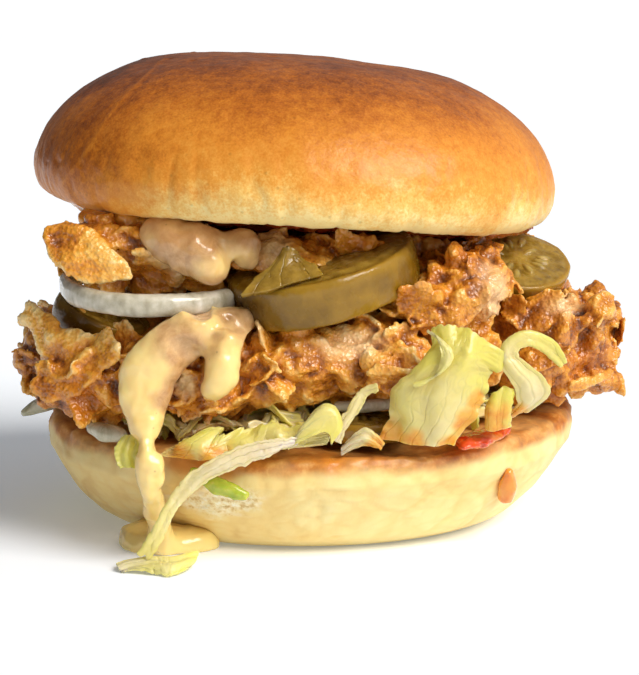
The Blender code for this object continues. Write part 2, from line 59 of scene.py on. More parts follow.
def softNoise(points, size, seed=1, octaves=1):
    total, weight, reach = 0.0, 0.0, 1.0
    spot = points / size
    for octave in range(octaves):
        cell = np.floor(spot).astype(np.int64)
        part = spot - cell
        ease = part * part * (3 - 2 * part)
        value = 0.0
        for corner in range(8):
            step = [corner & 1, corner >> 1 & 1, corner >> 2 & 1]
            share = 1.0
            for axis in range(3):
                share = share * (ease[:, axis] if step[axis] else 1 - ease[:, axis])
            value = value + share * hashed(
                cell[:, 0] + step[0], cell[:, 1] + step[1], cell[:, 2] + step[2], seed + 31 * octave
            )
        total = total + reach * (2 * value - 1)
        weight += reach
        reach *= 0.5
        spot = spot * 2.03 + 7.7
    return total / weight


# distances to the nearest two cell centres, and the nearest one's number
def cellNoise(points, size, seed=1):
    spot = points / size
    cell = np.floor(spot).astype(np.int64)
    near = np.full(len(spot), 9.0)
    second = np.full(len(spot), 9.0)
    number = np.zeros(len(spot))
    for dx in (-1, 0, 1):
        for dy in (-1, 0, 1):
            for dz in (-1, 0, 1):
                ix, iy, iz = cell[:, 0] + dx, cell[:, 1] + dy, cell[:, 2] + dz
                centre = np.stack(
                    [
                        ix + hashed(ix, iy, iz, seed), iy + hashed(ix, iy, iz, seed + 1),
                        iz + hashed(ix, iy, iz, seed + 2)
                    ],
                    1
                )
                away = np.linalg.norm(spot - centre, axis=1)
                closer = away < near
                second = np.where(closer, near, np.minimum(second, away))
                number = np.where(closer, hashed(ix, iy, iz, seed + 3), number)
                near = np.where(closer, away, near)
    return near, second, number


def smoothStep(low, high, value):
    share = np.clip((value - low) / (high - low), 0, 1)
    return share * share * (3 - 2 * share)


def spotted(coords, spots, seed, wobble=0.3, grain=3.0):  # 1 inside the spots of (x, y, z, size), 0 outside
    share = np.zeros(len(coords))
    waver = wobble * softNoise(coords, grain, seed, 2)
    for x, y, z, size in spots:
        away = np.linalg.norm(coords - (x, y, z), axis=1) / size
        share = np.maximum(share, smoothStep(1.15, 0.45, away + waver))
    return share


# Meshes

def coordsOf(mesh):
    flat = np.empty(len(mesh.vertices) * 3, np.float32)
    mesh.vertices.foreach_get("co", flat)
    return flat.reshape(-1, 3).astype(float) / mm


def setCoords(mesh, coords):
    mesh.vertices.foreach_set("co", (coords * mm).astype(np.float32).ravel())
    mesh.update()


def normalsOf(mesh):
    flat = np.empty(len(mesh.vertices) * 3, np.float32)
    mesh.vertex_normals.foreach_get("vector", flat)
    return flat.reshape(-1, 3).astype(float)


def addAttribute(mesh, name, values):
    kept = mesh.attributes.new(name, "FLOAT", "POINT")
    kept.data.foreach_set("value", np.asarray(values, np.float32))


def newObject(name, mesh):
    obj = bpy.data.objects.new(name, mesh)
    bpy.context.scene.collection.objects.link(obj)
    return obj


def objectFrom(name, coords, faces):  # coords in millimetres
    mesh = bpy.data.meshes.new(name)
    mesh.from_pydata([tuple(c) for c in np.asarray(coords) * mm], [], faces)
    mesh.update()
    return newObject(name, mesh)


def copyOfNodes(name, *nodes):
    bm = bmesh.new()
    for node in nodes:
        bm.from_mesh(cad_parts[node].data)
    bmesh.ops.remove_doubles(bm, verts=bm.verts, dist=0.000001)
    mesh = bpy.data.meshes.new(name)
    bm.to_mesh(mesh)
    bm.free()
    return newObject(name, mesh)


def applied(obj):
    bpy.context.view_layer.update()
    graph = bpy.context.evaluated_depsgraph_get()
    mesh = bpy.data.meshes.new_from_object(obj.evaluated_get(graph), depsgraph=graph)
    obj.modifiers.clear()
    obj.data = mesh
    return obj


def oneSkin(obj, voxel):
    skin = obj.modifiers.new("oneSkin", "REMESH")
    skin.mode = "VOXEL"
    skin.voxel_size = voxel * mm
    return applied(obj)


def softened(obj, factor, repeat):
    soft = obj.modifiers.new("soft", "SMOOTH")
    soft.factor = factor
    soft.iterations = repeat
    return applied(obj)


def thinned(obj, triangles, keepGroup=""):
    count = sum(len(p.vertices) - 2 for p in obj.data.polygons)
    if count <= triangles:
        return obj
    fewer = obj.modifiers.new("fewer", "DECIMATE")
    fewer.ratio = triangles / count
    if keepGroup:
        fewer.vertex_group = keepGroup
        fewer.vertex_group_factor = 1.5
        fewer.invert_vertex_group = True
    return applied(obj)


def pushed(obj, amount):  # moves each vertex along its normal, in millimetres
    coords = coordsOf(obj.data)
    setCoords(obj.data, coords + normalsOf(obj.data) * np.asarray(amount).reshape(-1, 1))
    return obj


def neighbourMean(mesh, values, rounds):
    edges = np.empty(len(mesh.edges) * 2, np.int32)
    mesh.edges.foreach_get("vertices", edges)
    a, b = edges.reshape(-1, 2).T
    count = np.bincount(a, minlength=len(values)) + np.bincount(b, minlength=len(values))
    for _ in range(rounds):
        total = np.stack([
            np.bincount(a, values[b, k], len(values)) + np.bincount(b, values[a, k], len(values))
            for k in range(values.shape[1])
        ], 1)
        values = total / np.maximum(count, 1)[:, None]
    return values


def ridgesOf(mesh, rounds):  # above zero on ridges and below zero in creases, in millimetres
    coords = coordsOf(mesh)
    return ((coords - neighbourMean(mesh, coords, rounds)) * normalsOf(mesh)).sum(1)


def finishPiece(obj, material, nodes):
    obj.data.materials.clear()
    obj.data.materials.append(material)
    obj.data.shade_smooth()
    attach(obj, "root")
    if nodes:
        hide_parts(*nodes)
    print(obj.name, len(obj.data.polygons), "faces")
    return obj


def boxOf(node):
    low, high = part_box(node)
    return np.array(low) / mm, np.array(high) / mm


# coords scaled and moved, so that they fill the node's box, or a box beside it
def fitted(coords, node, drift=(0, 0, 0)):
    low, high = np.array(boxOf(node)) + drift
    small, large = coords.min(0), coords.max(0)
    return low + (coords - small) * (high - low) / (large - small)


# Materials

class Finish:  # one material, built from its own noise, ramps and attributes
    def __init__(self, name, **inputs):
        self.material = bpy.data.materials.new(name)
        self.material.use_nodes = True
        self.tree = self.material.node_tree
        self.shader = self.tree.nodes["Principled BSDF"]
        for label, value in inputs.items():
            self.shader.inputs[label.replace("_", " ")].default_value = value
        self.place = self.tree.nodes.new("ShaderNodeTexCoord").outputs["Object"]

    def add(self, kind, inputs=None, **settings):
        node = self.tree.nodes.new(kind)
        for label, value in settings.items():
            setattr(node, label, value)
        for label, value in (inputs or {}).items():
            if isinstance(value, bpy.types.NodeSocket):
                self.tree.links.new(value, node.inputs[label])
            else:
                node.inputs[label].default_value = value
        return node

    def set(self, label, socket):
        self.tree.links.new(socket, self.shader.inputs[label])

    def shaded(self, colour, share):
        grey = self.add("ShaderNodeCombineColor", {"Red": share, "Green": share, "Blue": share})
        return self.mix(1.0, colour, grey.outputs[0], "MULTIPLY")

    def relief(self, socket):
        self.set("Normal", socket)
        self.set("Coat Normal", socket)

    def noise(self, size, detail=3.0, rough=0.5, warp=0.0):  # size in millimetres
        inputs = {"Vector": self.place, "Scale": 1000 / size, "Detail": detail, "Roughness": rough}
        inputs["Distortion"] = warp
        return self.add("ShaderNodeTexNoise", inputs).outputs["Fac"]

    def cells(self, size):
        inputs = {"Vector": self.place, "Scale": 1000 / size}
        return self.add("ShaderNodeTexVoronoi", inputs).outputs["Distance"]

    def value(self, name):
        return self.add("ShaderNodeAttribute", attribute_name=name).outputs["Fac"]

    def math(self, operation, a, b):
        node = self.add("ShaderNodeMath", operation=operation)
        for slot, value in enumerate((a, b)):
            if isinstance(value, bpy.types.NodeSocket):
                self.tree.links.new(value, node.inputs[slot])
            else:
                node.inputs[slot].default_value = value
        return node.outputs[0]

    def ramp(self, factor, *stops):  # stops of (place, colour)
        node = self.add("ShaderNodeValToRGB", {"Fac": factor})
        elements = node.color_ramp.elements
        while len(elements) < len(stops):
            elements.new(0.5)
        for element, (spot, colour) in zip(elements, stops):
            element.position = spot
            element.color = (*colour, 1.0)
        return node.outputs["Color"]

    def levels(self, factor, low, high, toLow=0.0, toHigh=1.0):
        inputs = {"Value": factor, "From Min": low, "From Max": high, "To Min": toLow, "To Max": toHigh}
        return self.add("ShaderNodeMapRange", inputs).outputs["Result"]

    def mix(self, factor, a, b, blend="MIX"):
        node = self.add("ShaderNodeMix", data_type="RGBA", blend_type=blend)
        for slot, value in ((0, factor), (6, a), (7, b)):
            if isinstance(value, bpy.types.NodeSocket):
                self.tree.links.new(value, node.inputs[slot])
            elif slot:
                node.inputs[slot].default_value = (*value, 1.0)
            else:
                node.inputs[slot].default_value = value
        return node.outputs[2]

    def bump(self, height, depth, strength=1.0, below=None):  # depth in millimetres
        inputs = {"Height": height, "Distance": depth * mm, "Strength": strength}
        if below:
            inputs["Normal"] = below
        return self.add("ShaderNodeBump", inputs).outputs["Normal"]


# Buns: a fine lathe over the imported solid's box, then folds, pits and blisters

crownShape = {
    "radius": 53.7, "height": 30.8, "widestAt": 6.0, "rimDepth": 4.5, "tilt": 4.0,
    "sides": 520, "underRows": 12, "rimRows": 22, "domeRows": 140,
}
heelShape = {
    "radius": 53.7, "height": 22.4, "widestAt": 16.0, "baseRadius": 37.0, "rise": (0.014, 0.045),
    "sides": 420, "topRows": 20, "rimRows": 22, "sideRows": 80, "baseRows": 8,
    # orange sauce that has soaked in, and a cracked floury patch, as a centre and a size
    "stains": [
        (-12, -53, 21, 7), (4, -53, 22, 9), (17, -51, 22, 7), (33, -46, 23, 9), (38, -38, 12, 3.0),
        (-24, -51, 18, 5), (-17, -53, 18.5, 6),
    ],
    "floury": [(-11.0, -48.5, 10.0, 5.0), (-8.6, -49.5, 11.8, 4.2)],  # with x drawn in, which makes them wide
}


def lathe(profile, sides):  # profile of (radius, height) from the axis below to the axis above
    radii, heights = np.array(profile[1:-1]).T
    angles = 2 * np.pi * np.arange(sides) / sides
    x = radii[:, None] * np.cos(angles)
    y = radii[:, None] * np.sin(angles)
    z = np.repeat(heights[:, None], sides, 1)
    coords = np.concatenate(
        [np.stack([x, y, z], 2).reshape(-1, 3), [[0, 0, profile[0][1]], [0, 0, profile[-1][1]]]]
    )
    faces = []
    rows = len(radii)
    for row in range(rows - 1):
        for side in range(sides):
            after = (side + 1) % sides
            faces.append(
                (row * sides + side, row * sides + after, (row + 1) * sides + after, (row + 1) * sides + side)
            )
    low, high = rows * sides, rows * sides + 1
    for side in range(sides):
        after = (side + 1) % sides
        faces.append((low, after, side))
        faces.append((high, (rows - 1) * sides + side, (rows - 1) * sides + after))
    return coords, faces


def crownProfile():
    s = crownShape
    inner = s["radius"] - s["rimDepth"]
    profile = [(inner * i / s["underRows"], 0.0) for i in range(s["underRows"])]
    for i in range(s["rimRows"]):
        turn = math.pi / 2 * i / s["rimRows"]
        profile.append((inner + s["rimDepth"] * math.sin(turn), s["widestAt"] * (1 - math.cos(turn))))
    for i in range(s["domeRows"] + 1):
        share = math.cos(math.pi / 2 * i / s["domeRows"])
        profile.append(
            (s["radius"] * share, s["widestAt"] + (s["height"] - s["widestAt"]) * (1 - share ** 3) ** 0.55)
        )
    return profile


def makeCrown():
    s = crownShape
    local, faces = lathe(crownProfile(), s["sides"])
    angle = np.arctan2(local[:, 1], local[:, 0])
    reach = np.linalg.norm(local[:, :2], axis=1)
    local[:, :2] *= (0.992 + 0.010 * np.cos(2 * angle + 2.2) + 0.006 * np.cos(5 * angle))[:, None]
    turn = math.radians(s["tilt"])
    spun = local.copy()
    spun[:, 0] = local[:, 0] * math.cos(turn) + local[:, 2] * math.sin(turn)
    spun[:, 2] = -local[:, 0] * math.sin(turn) + local[:, 2] * math.cos(turn)
    obj = objectFrom("topBun", fitted(spun, "crown"), faces)
    height = local[:, 2]
    outside = smoothStep(s["radius"] - 7, s["radius"] - 2, reach) + smoothStep(8, 12, height)
    outside = np.clip(outside, 0, 1)
    swell = (
        0.9 * softNoise(local, 36, 3) + 0.38 * softNoise(local, 15, 5) + 0.16 * softNoise(local, 6.5, 6, 2)
    )
    swell += outside * (0.075 * softNoise(local, 2.3, 7, 2) - 0.05 * np.abs(softNoise(local, 3.4, 8, 2)))
    # skin folds that run up from the cut edge
    around = np.stack([angle * s["radius"], height * 0.32, reach * 0.1], 1)
    fold = np.abs(softNoise(around, 4.6, 11, 2))
    low = (
        smoothStep(17, 3, height + 4 * softNoise(around, 9, 12))
        * smoothStep(s["radius"] - 9, s["radius"] - 1.5, reach)
    )
    swell -= 0.30 * low * np.clip(0.16 - fold, 0, 1) / 0.16
    swell += 0.26 * low * softNoise(around, 3.4, 13, 2) + 0.14 * low * softNoise(local, 1.9, 14, 2)
    # a thin seam that climbs the left side
    seam = (
        np.abs(local[:, 0] + 45.5 - 0.62 * height - 0.8 * softNoise(local, 9, 17))
        * smoothStep(0, 1, -local[:, 1])
    )
    seam = smoothStep(0.7, 0.1, seam) * smoothStep(-8, -14, local[:, 1]) * smoothStep(2, 5, height)
    swell += 0.11 * seam
    # a few pits and blisters in the skin
    near, _, number = cellNoise(local, 7.5, 21)
    swell -= 0.26 * outside * (number > 0.70) * smoothStep(0.17, 0.04, near)
    near, _, number = cellNoise(local, 10.0, 33)
    swell += 0.24 * outside * (number > 0.6) * smoothStep(0.12, 0.03, near)
    # the cut face is open crumb
    crumb = (1 - outside) * smoothStep(2.0, 0.4, height)
    swell += crumb * (0.5 * softNoise(local, 2.6, 41, 3) - 0.2)
    pushed(obj, swell)
    drift = 3.2 * softNoise(local, 17, 51, 2) + 1.6 * softNoise(around, 7, 53, 2)
    # left is 1 on the left side, where the crust is drawn darker: painted shade on the side away from the
    # light, and low on the rim also a browner bake
    left = smoothStep(-17, -42, local[:, 0])
    bake = 0.45 * smoothStep(-1.5, 12, height + drift) + 0.50 * smoothStep(9, 31, height + drift)
    # the attribute holds the baking and the painted shade on the left side
    addAttribute(
        obj.data, "bake", 0.86 * bake + left * (0.19 + 0.25 * smoothStep(20, 3, height)) - 0.08 * seam
    )
    addAttribute(obj.data, "crumb", crumb)
    return obj


def heelProfile():
    s = heelShape
    profile = [(s["baseRadius"] * i / s["baseRows"], 0.0) for i in range(s["baseRows"])]
    for i in range(s["sideRows"] + 1):
        share = (i / s["sideRows"]) ** 1.6
        profile.append(
            (s["baseRadius"] + (s["radius"] - s["baseRadius"]) * share ** 0.5, s["widestAt"] * share)
        )
    rim = s["height"] - s["widestAt"]
    for i in range(1, s["rimRows"] + 1):
        turn = math.pi / 2 * i / s["rimRows"]
        profile.append(
            (s["radius"] - 2.8 * (1 - math.cos(turn)) ** 1.6, s["widestAt"] + rim * math.sin(turn) ** 0.8)
        )
    edge = profile[-1][0]
    for i in range(1, s["topRows"] + 1):
        profile.append((edge * (1 - i / s["topRows"]), s["height"]))
    return profile


def makeHeel():
    s = heelShape
    local, faces = lathe(heelProfile(), s["sides"])
    angle = np.arctan2(local[:, 1], local[:, 0])
    reach = np.linalg.norm(local[:, :2], axis=1)
    height = local[:, 2].copy()
    share = height / s["height"]
    shaped = local.copy()
    shaped[:, :2] *= (1 + 0.008 * np.cos(2 * angle + 0.6) + 0.006 * np.cos(3 * angle + 1.0))[:, None]
    shaped[:, 2] *= 1 + (s["rise"][0] * shaped[:, 0] + s["rise"][1] * shaped[:, 1]) / s["height"]
    shaped[:, 0] -= 1.5 * (1 - share)
    obj = objectFrom("heelBun", fitted(shaped, "heel"), faces)
    side = smoothStep(1.0, 4.0, height) * smoothStep(s["radius"] - 20, s["radius"] - 12, reach)
    rim = (
        smoothStep(s["radius"] - 6, s["radius"] - 2, reach)
        * smoothStep(s["height"] - 5, s["height"] - 1, height)
    )
    top = smoothStep(s["height"] - 1.2, s["height"] - 0.1, height)
    around = np.stack([angle * s["radius"], height * 1.15, reach * 0.0], 1)
    warp = np.stack([2.6 * softNoise(around, 8, 61 + k, 2) for k in range(3)], 1)
    near, second, _ = cellNoise(around + warp, 9.0, 64)
    crease = np.clip(second - near, 0, 0.30) / 0.30
    near, second, _ = cellNoise(around * (1, 1.5, 1) + warp * 0.7, 4.2, 67)
    wrinkle = np.clip(second - near, 0, 0.35) / 0.35
    swell = 0.9 * softNoise(local, 26, 71) + 0.5 * softNoise(local, 11, 72)
    patch = smoothStep(-0.25, 0.35, softNoise(local, 15, 73, 2))
    swell = (
        side * (swell + 0.26 * (crease - 0.7) + 0.20 * patch * (wrinkle - 0.7))
        + 0.08 * side * softNoise(local, 2.2, 74, 2)
    )
    swell += rim * (0.6 * softNoise(around, 5.0, 76, 3) + 0.3 * softNoise(local, 1.8, 78, 2))
    swell += top * (0.35 * softNoise(local, 2.4, 79, 3) + 0.3 * softNoise(local, 9, 80))
    swell *= smoothStep(0.0, 1.2, height)
    pushed(obj, swell)
    ragged = 2.0 * softNoise(around, 6.5, 81, 3)
    toast = (
        smoothStep(s["height"] - 4.2, s["height"] - 1.6, height + 0.75 * ragged)
        * (0.85 + 0.3 * softNoise(around, 5, 83, 2))
    )
    addAttribute(obj.data, "toast", np.clip(toast, 0, 1))
    # low in the creases and high on the ridges between; the colour uses it as painted shade in the creases and
    # painted light on the ridges
    addAttribute(obj.data, "crease", side * (0.65 * crease + 0.35 * wrinkle) + (1 - side) * 0.8)
    world = coordsOf(obj.data)
    stain = np.zeros(len(world))
    for x, y, z, size in s["stains"]:
        away = np.linalg.norm((world - (x, y, z)) / (size, size, size * 0.55), axis=1)
        stain = np.maximum(stain, smoothStep(1.15, 0.2, away + 0.3 * softNoise(world, 3.2, 85, 2)))
    addAttribute(obj.data, "stain", stain)
    floury = spotted(world * (0.55, 1, 1), s["floury"], 87, 0.4, 2.2)
    near, second, _ = cellNoise(world, 1.9, 88)
    pushed(obj, floury * (0.30 * softNoise(world, 1.8, 89, 2) - 0.30 * smoothStep(0.22, 0.02, second - near)))
    addAttribute(obj.data, "flour", floury)
    return obj


def crownFinish():
    f = Finish(
        "glazedCrust", Roughness=0.44, Coat_Weight=0.13, Coat_Roughness=0.22, Specular_IOR_Level=0.24,
        Subsurface_Weight=0.05, Subsurface_Scale=0.004
    )
    f.shader.inputs["Subsurface Radius"].default_value = (1.0, 0.5, 0.2)
    mottle = f.noise(13, 5, 0.6)
    fine = f.math(
        "ADD", f.math("MULTIPLY", f.noise(1.8, 4, 0.65), 0.65),
        f.math("MULTIPLY", f.noise(0.45, 2, 0.6), 0.35)
    )
    # the baking darkness with the painted shade on the left side mixed in, plus mottling and fine grain
    bake = f.math("ADD", f.value("bake"), f.levels(mottle, 0.3, 0.7, -0.09, 0.09))
    bake = f.math("ADD", bake, f.levels(fine, 0.3, 0.7, -0.13, 0.13))
    skin = f.ramp(
        bake, (0.02, (0.92, 0.70, 0.29)), (0.14, (0.86, 0.53, 0.145)), (0.31, (0.76, 0.325, 0.048)),
        (0.48, (0.67, 0.235, 0.024)), (0.68, (0.46, 0.130, 0.011)), (0.84, (0.25, 0.060, 0.006)),
        (1.0, (0.11, 0.027, 0.004))
    )
    specks = f.levels(f.cells(2.7), 0.06, 0.16, 0.80, 1.0)
    skin = f.shaded(skin, specks)
    crumbColour = f.ramp(f.noise(2.2, 4, 0.7), (0.3, (0.55, 0.28, 0.08)), (0.7, (0.88, 0.66, 0.33)))
    f.set("Base Color", f.mix(f.value("crumb"), skin, crumbColour))
    f.set("Roughness", f.levels(f.noise(5, 3), 0.3, 0.7, 0.34, 0.52))
    leather = f.bump(f.noise(2.4, 4, 0.6), 0.30, 0.6)
    f.relief(f.bump(f.noise(0.8, 3, 0.6), 0.10, 0.6, leather))
    return f.material


def heelFinish():
    f = Finish(
        "softHeel", Roughness=0.52, Coat_Weight=0.06, Coat_Roughness=0.4, Subsurface_Weight=0.10,
        Subsurface_Scale=0.004
    )
    f.shader.inputs["Subsurface Radius"].default_value = (1.0, 0.6, 0.25)
    # skin tone from broad mottling, darker in the creases and lighter on the ridges: painted shade and painted
    # light
    tone = f.math(
        "ADD", f.levels(f.noise(16, 4, 0.6), 0.3, 0.7, 0.30, 0.72),
        f.levels(f.value("crease"), 0.2, 1.0, -0.17, 0.11)
    )
    skin = f.ramp(
        tone, (0.05, (0.74, 0.46, 0.14)), (0.35, (0.86, 0.63, 0.235)), (0.75, (0.91, 0.75, 0.34)),
        (1.0, (0.94, 0.84, 0.50))
    )
    brown = f.ramp(
        f.noise(2.4, 4, 0.65), (0.3, (0.34, 0.085, 0.010)), (0.55, (0.58, 0.20, 0.026)),
        (0.8, (0.80, 0.46, 0.13))
    )
    skin = f.mix(f.value("toast"), skin, brown)
    powder = f.ramp(
        f.noise(1.5, 4, 0.7), (0.36, (0.62, 0.40, 0.15)), (0.48, (0.90, 0.76, 0.44)),
        (0.62, (0.97, 0.93, 0.78))
    )
    skin = f.mix(f.math("MULTIPLY", f.value("flour"), 0.9), skin, powder)
    f.set("Base Color", f.mix(f.math("MULTIPLY", f.value("stain"), 0.8), skin, (0.74, 0.26, 0.028)))
    f.set("Roughness", f.levels(f.value("stain"), 0.0, 1.0, 0.52, 0.22))
    f.relief(f.bump(f.noise(0.9, 4, 0.65), 0.10, 0.6, f.bump(f.noise(3.4, 3, 0.5), 0.3, 0.5)))
    return f.material


finishPiece(makeCrown(), crownFinish(), ["crown"])
finishPiece(makeHeel(), heelFinish(), ["heel"])


# Thin sheets through rows of points, for leaves and plates of crust: ragged frilled edges, folds and veins

def splineThrough(points, spots):
    last = len(points) - 1
    place = np.clip(spots, 0, 1) * last
    first = np.minimum(place.astype(int), last - 1)
    s = (place - first).reshape(-1, *[1] * (points.ndim - 1))
    p0, p1, p2, p3 = (points[np.clip(first + k, 0, last)] for k in (-1, 0, 1, 2))
    return 0.5 * (
        2 * p1 + (p2 - p0) * s + (2 * p0 - 5 * p1 + 4 * p2 - p3) * s ** 2
        + (3 * p1 - p0 - 3 * p2 + p3) * s ** 3
    )


# line of (x, y, z, half width, lean of the width in degrees, how far its middle bows forward)
def leafRows(line):
    rows = []
    for x, y, z, half, lean, bow in line:
        side = np.array([math.cos(math.radians(lean)), 0, math.sin(math.radians(lean))]) * half
        middle = np.array([x, y, z])
        rows.append([middle - side, middle - (0, bow, 0), middle + side])
    return rows


def leafSheet(name, look, node=None):
    rows = np.array(look["rows"] if "rows" in look else leafRows(look["line"]), float)
    seed, (along, across) = look["seed"], look["fine"]
    u = np.repeat(np.linspace(0, 1, along + 1), across + 1)
    v = np.tile(np.linspace(0, 1, across + 1), along + 1)
    plain = splineThrough(rows, np.linspace(0, 1, along + 1)).transpose(1, 0, 2)
    grid = splineThrough(plain, np.linspace(0, 1, across + 1)).transpose(1, 0, 2)
    long = np.linalg.norm(np.diff(grid[:, across // 2], axis=0), axis=1).sum()
    wide = np.linalg.norm(np.diff(grid[along // 2], axis=0), axis=1).sum()
    flat = np.stack([u * long, v * wide, u * 0], 1)
    # ragged edges: the outline is drawn in by a toothed amount
    def teeth(line, size, shift):
        spots = np.stack([line, line * 0 + shift, line * 0], 1)
        return np.clip(
            0.5 + 0.7 * softNoise(spots, size, seed + 3, 2) + 0.35 * softNoise(spots, size * 0.3, seed + 5),
            0, 1.4
        )
    tip = 1 - look["ragged"][0] * teeth(v * wide, 2.6, 0)
    left, right = look["ragged"][1] * teeth(u * long, 1.9, 10), look["ragged"][1] * teeth(u * long, 1.9, 30)
    us, vs = u * tip, left + v * (1 - left - right)
    a, b = np.clip(us * along, 0, along - 1e-6), np.clip(vs * across, 0, across - 1e-6)
    i, j = a.astype(int), b.astype(int)
    p, q = (a - i)[:, None], (b - j)[:, None]
    coords = (
        grid[i, j] * (1 - p) * (1 - q) + grid[i + 1, j] * p * (1 - q) + grid[i, j + 1] * (1 - p) * q
        + grid[i + 1, j + 1] * p * q
    )
    if node:
        coords = fitted(coords, node, look.get("drift", (0, 0, 0)))
    square = coords.reshape(along + 1, across + 1, 3)
    normal = np.cross(np.gradient(square, axis=0), np.gradient(square, axis=1)).reshape(-1, 3)
    normal /= np.maximum(np.linalg.norm(normal, axis=1), 1e-9)[:, None]
    edge = np.maximum(np.abs(2 * v - 1), smoothStep(0.55, 1.0, u)) ** 2.5
    height, count, narrow = look["ruffle"]
    wave = (
        np.sin(2 * np.pi * (count * u + 0.5 * softNoise(flat, 6, seed + 8)) + narrow * v)
        * np.abs(2 * v - 1) ** 2
    )
    wave += 1.3 * softNoise(flat, 4.2, seed + 10, 2) * smoothStep(0.6, 1.0, u)
    shift = height * edge * (0.30 * wave + 0.8 * softNoise(flat, 3.4, seed + 9, 2))
    depth, folds, slant = look["pleat"]
    fold = np.sin(2 * np.pi * (folds * v + slant * u + 0.35 * softNoise(flat, 9, seed + 11)))
    shift += depth * fold + 0.26 * softNoise(flat, 4.5, seed + 13, 2)
    lean = v + 0.07 * softNoise(flat, 7, seed + 15, 2)
    main = np.abs((lean * look["veins"]) % 1 - 0.5) * wide / look["veins"]
    stretched = (
        flat * (0.55, 1, 1) + 1.3 * np.stack([softNoise(flat, 3.5, seed + 16 + k, 2) for k in range(3)], 1)
    )
    near, second, _ = cellNoise(stretched, 3.4, seed + 18)
    net = smoothStep(0.08, 0.0, second - near) * smoothStep(0.05, 0.35, u)
    vein = np.maximum(
        smoothStep(0.20, 0.04, main) * smoothStep(0.85, 0.3, u + 0.3 * softNoise(flat, 5, seed + 21)),
        0.42 * net
    )
    shift += 0.12 * vein + look.get("crumple", 0) * softNoise(flat, 5.5, seed + 19, 3)
    coords = coords + normal * shift[:, None]
    faces = [
        (
            r * (across + 1) + c, (r + 1) * (across + 1) + c, (r + 1) * (across + 1) + c + 1,
            r * (across + 1) + c + 1
        )
        for r in range(along) for c in range(across)
    ]
    obj = objectFrom(name, coords, faces)
    green = (
        look["green"][0] + (look["green"][1] - look["green"][0]) * u + 0.25 * (np.abs(2 * v - 1) ** 3)
        + 0.2 * softNoise(flat, 6, seed + 20, 2)
    )
    addAttribute(obj.data, "green", green)
    addAttribute(obj.data, "vein", vein)
    rib = look["rib"] * (1.25 - u) * (1 - 0.5 * np.abs(2 * v - 1) ** 3) + 0.15 * softNoise(flat, 4, seed + 22)
    addAttribute(obj.data, "rib", np.clip(rib, 0, 1))
    addAttribute(
        obj.data, "stain", spotted(coords, look["stain"], seed + 24, 0.35, 2.4) if look["stain"] else u * 0
    )
    body = obj.modifiers.new("body", "SOLIDIFY")
    body.thickness = look["thick"] * mm
    body.offset = 0
    return applied(obj)


# Small ragged shapes that Geometry Nodes spread over a surface

def flakeShape(name, seed, length, width, curl, thick=0.75):
    rings, sectors = 4, 16
    dice = random.Random(seed)
    phase = [dice.uniform(0, 2 * math.pi) for _ in range(4)]
    coords, faces = [], []
    for side in (1, -1):
        coords.append([0, 0, side * thick / 2])
        for ring in range(1, rings + 1):
            for sector in range(sectors):
                angle = 2 * math.pi * sector / sectors
                reach = ring / rings
                jag = 1 + 0.15 * math.sin(3 * angle + phase[0]) + 0.11 * math.sin(5 * angle + phase[1])
                jag += reach * dice.uniform(-0.12, 0.12)
                x, y = length * reach * jag * math.cos(angle), width * reach * jag * math.sin(angle)
                z = curl * (x / length) ** 2 * length * 0.5 + 0.22 * math.sin(1.7 * x + phase[2]) * reach
                z += 0.3 * math.sin(2.1 * y + phase[3]) * reach
                coords.append([x, y, z + side * thick / 2 * (1 - 0.55 * reach ** 3)])
    count = 1 + rings * sectors
    for sector in range(sectors):
        after = (sector + 1) % sectors
        faces.append((0, 1 + sector, 1 + after))
        faces.append((count, count + 1 + after, count + 1 + sector))
        for ring in range(rings - 1):
            a, b = 1 + ring * sectors, 1 + (ring + 1) * sectors
            faces.append((a + sector, b + sector, b + after, a + after))
            faces.append((count + a + after, count + b + after, count + b + sector, count + a + sector))
        edge = 1 + (rings - 1) * sectors
        faces.append((edge + sector, count + edge + sector, count + edge + after, edge + after))
    return objectFrom(name, coords, faces)


def nubShape(name, seed, radius):
    bm = bmesh.new()
    bmesh.ops.create_icosphere(bm, subdivisions=2, radius=1.0)
    coords = np.array([v.co for v in bm.verts])
    faces = [[v.index for v in f.verts] for f in bm.faces]
    bm.free()
    bulge = 1 + 0.5 * softNoise(coords * 10, 9, seed, 2)
    return objectFrom(name, coords * bulge[:, None] * (radius, radius * 0.8, radius * 0.65), faces)


def shapesKept(name, shapes):  # out of the scene, in a collection that the scatter reads
    kept = bpy.data.collections.new(name)
    for shape in shapes:
        bpy.context.scene.collection.objects.unlink(shape)
        kept.objects.link(shape)
    return kept


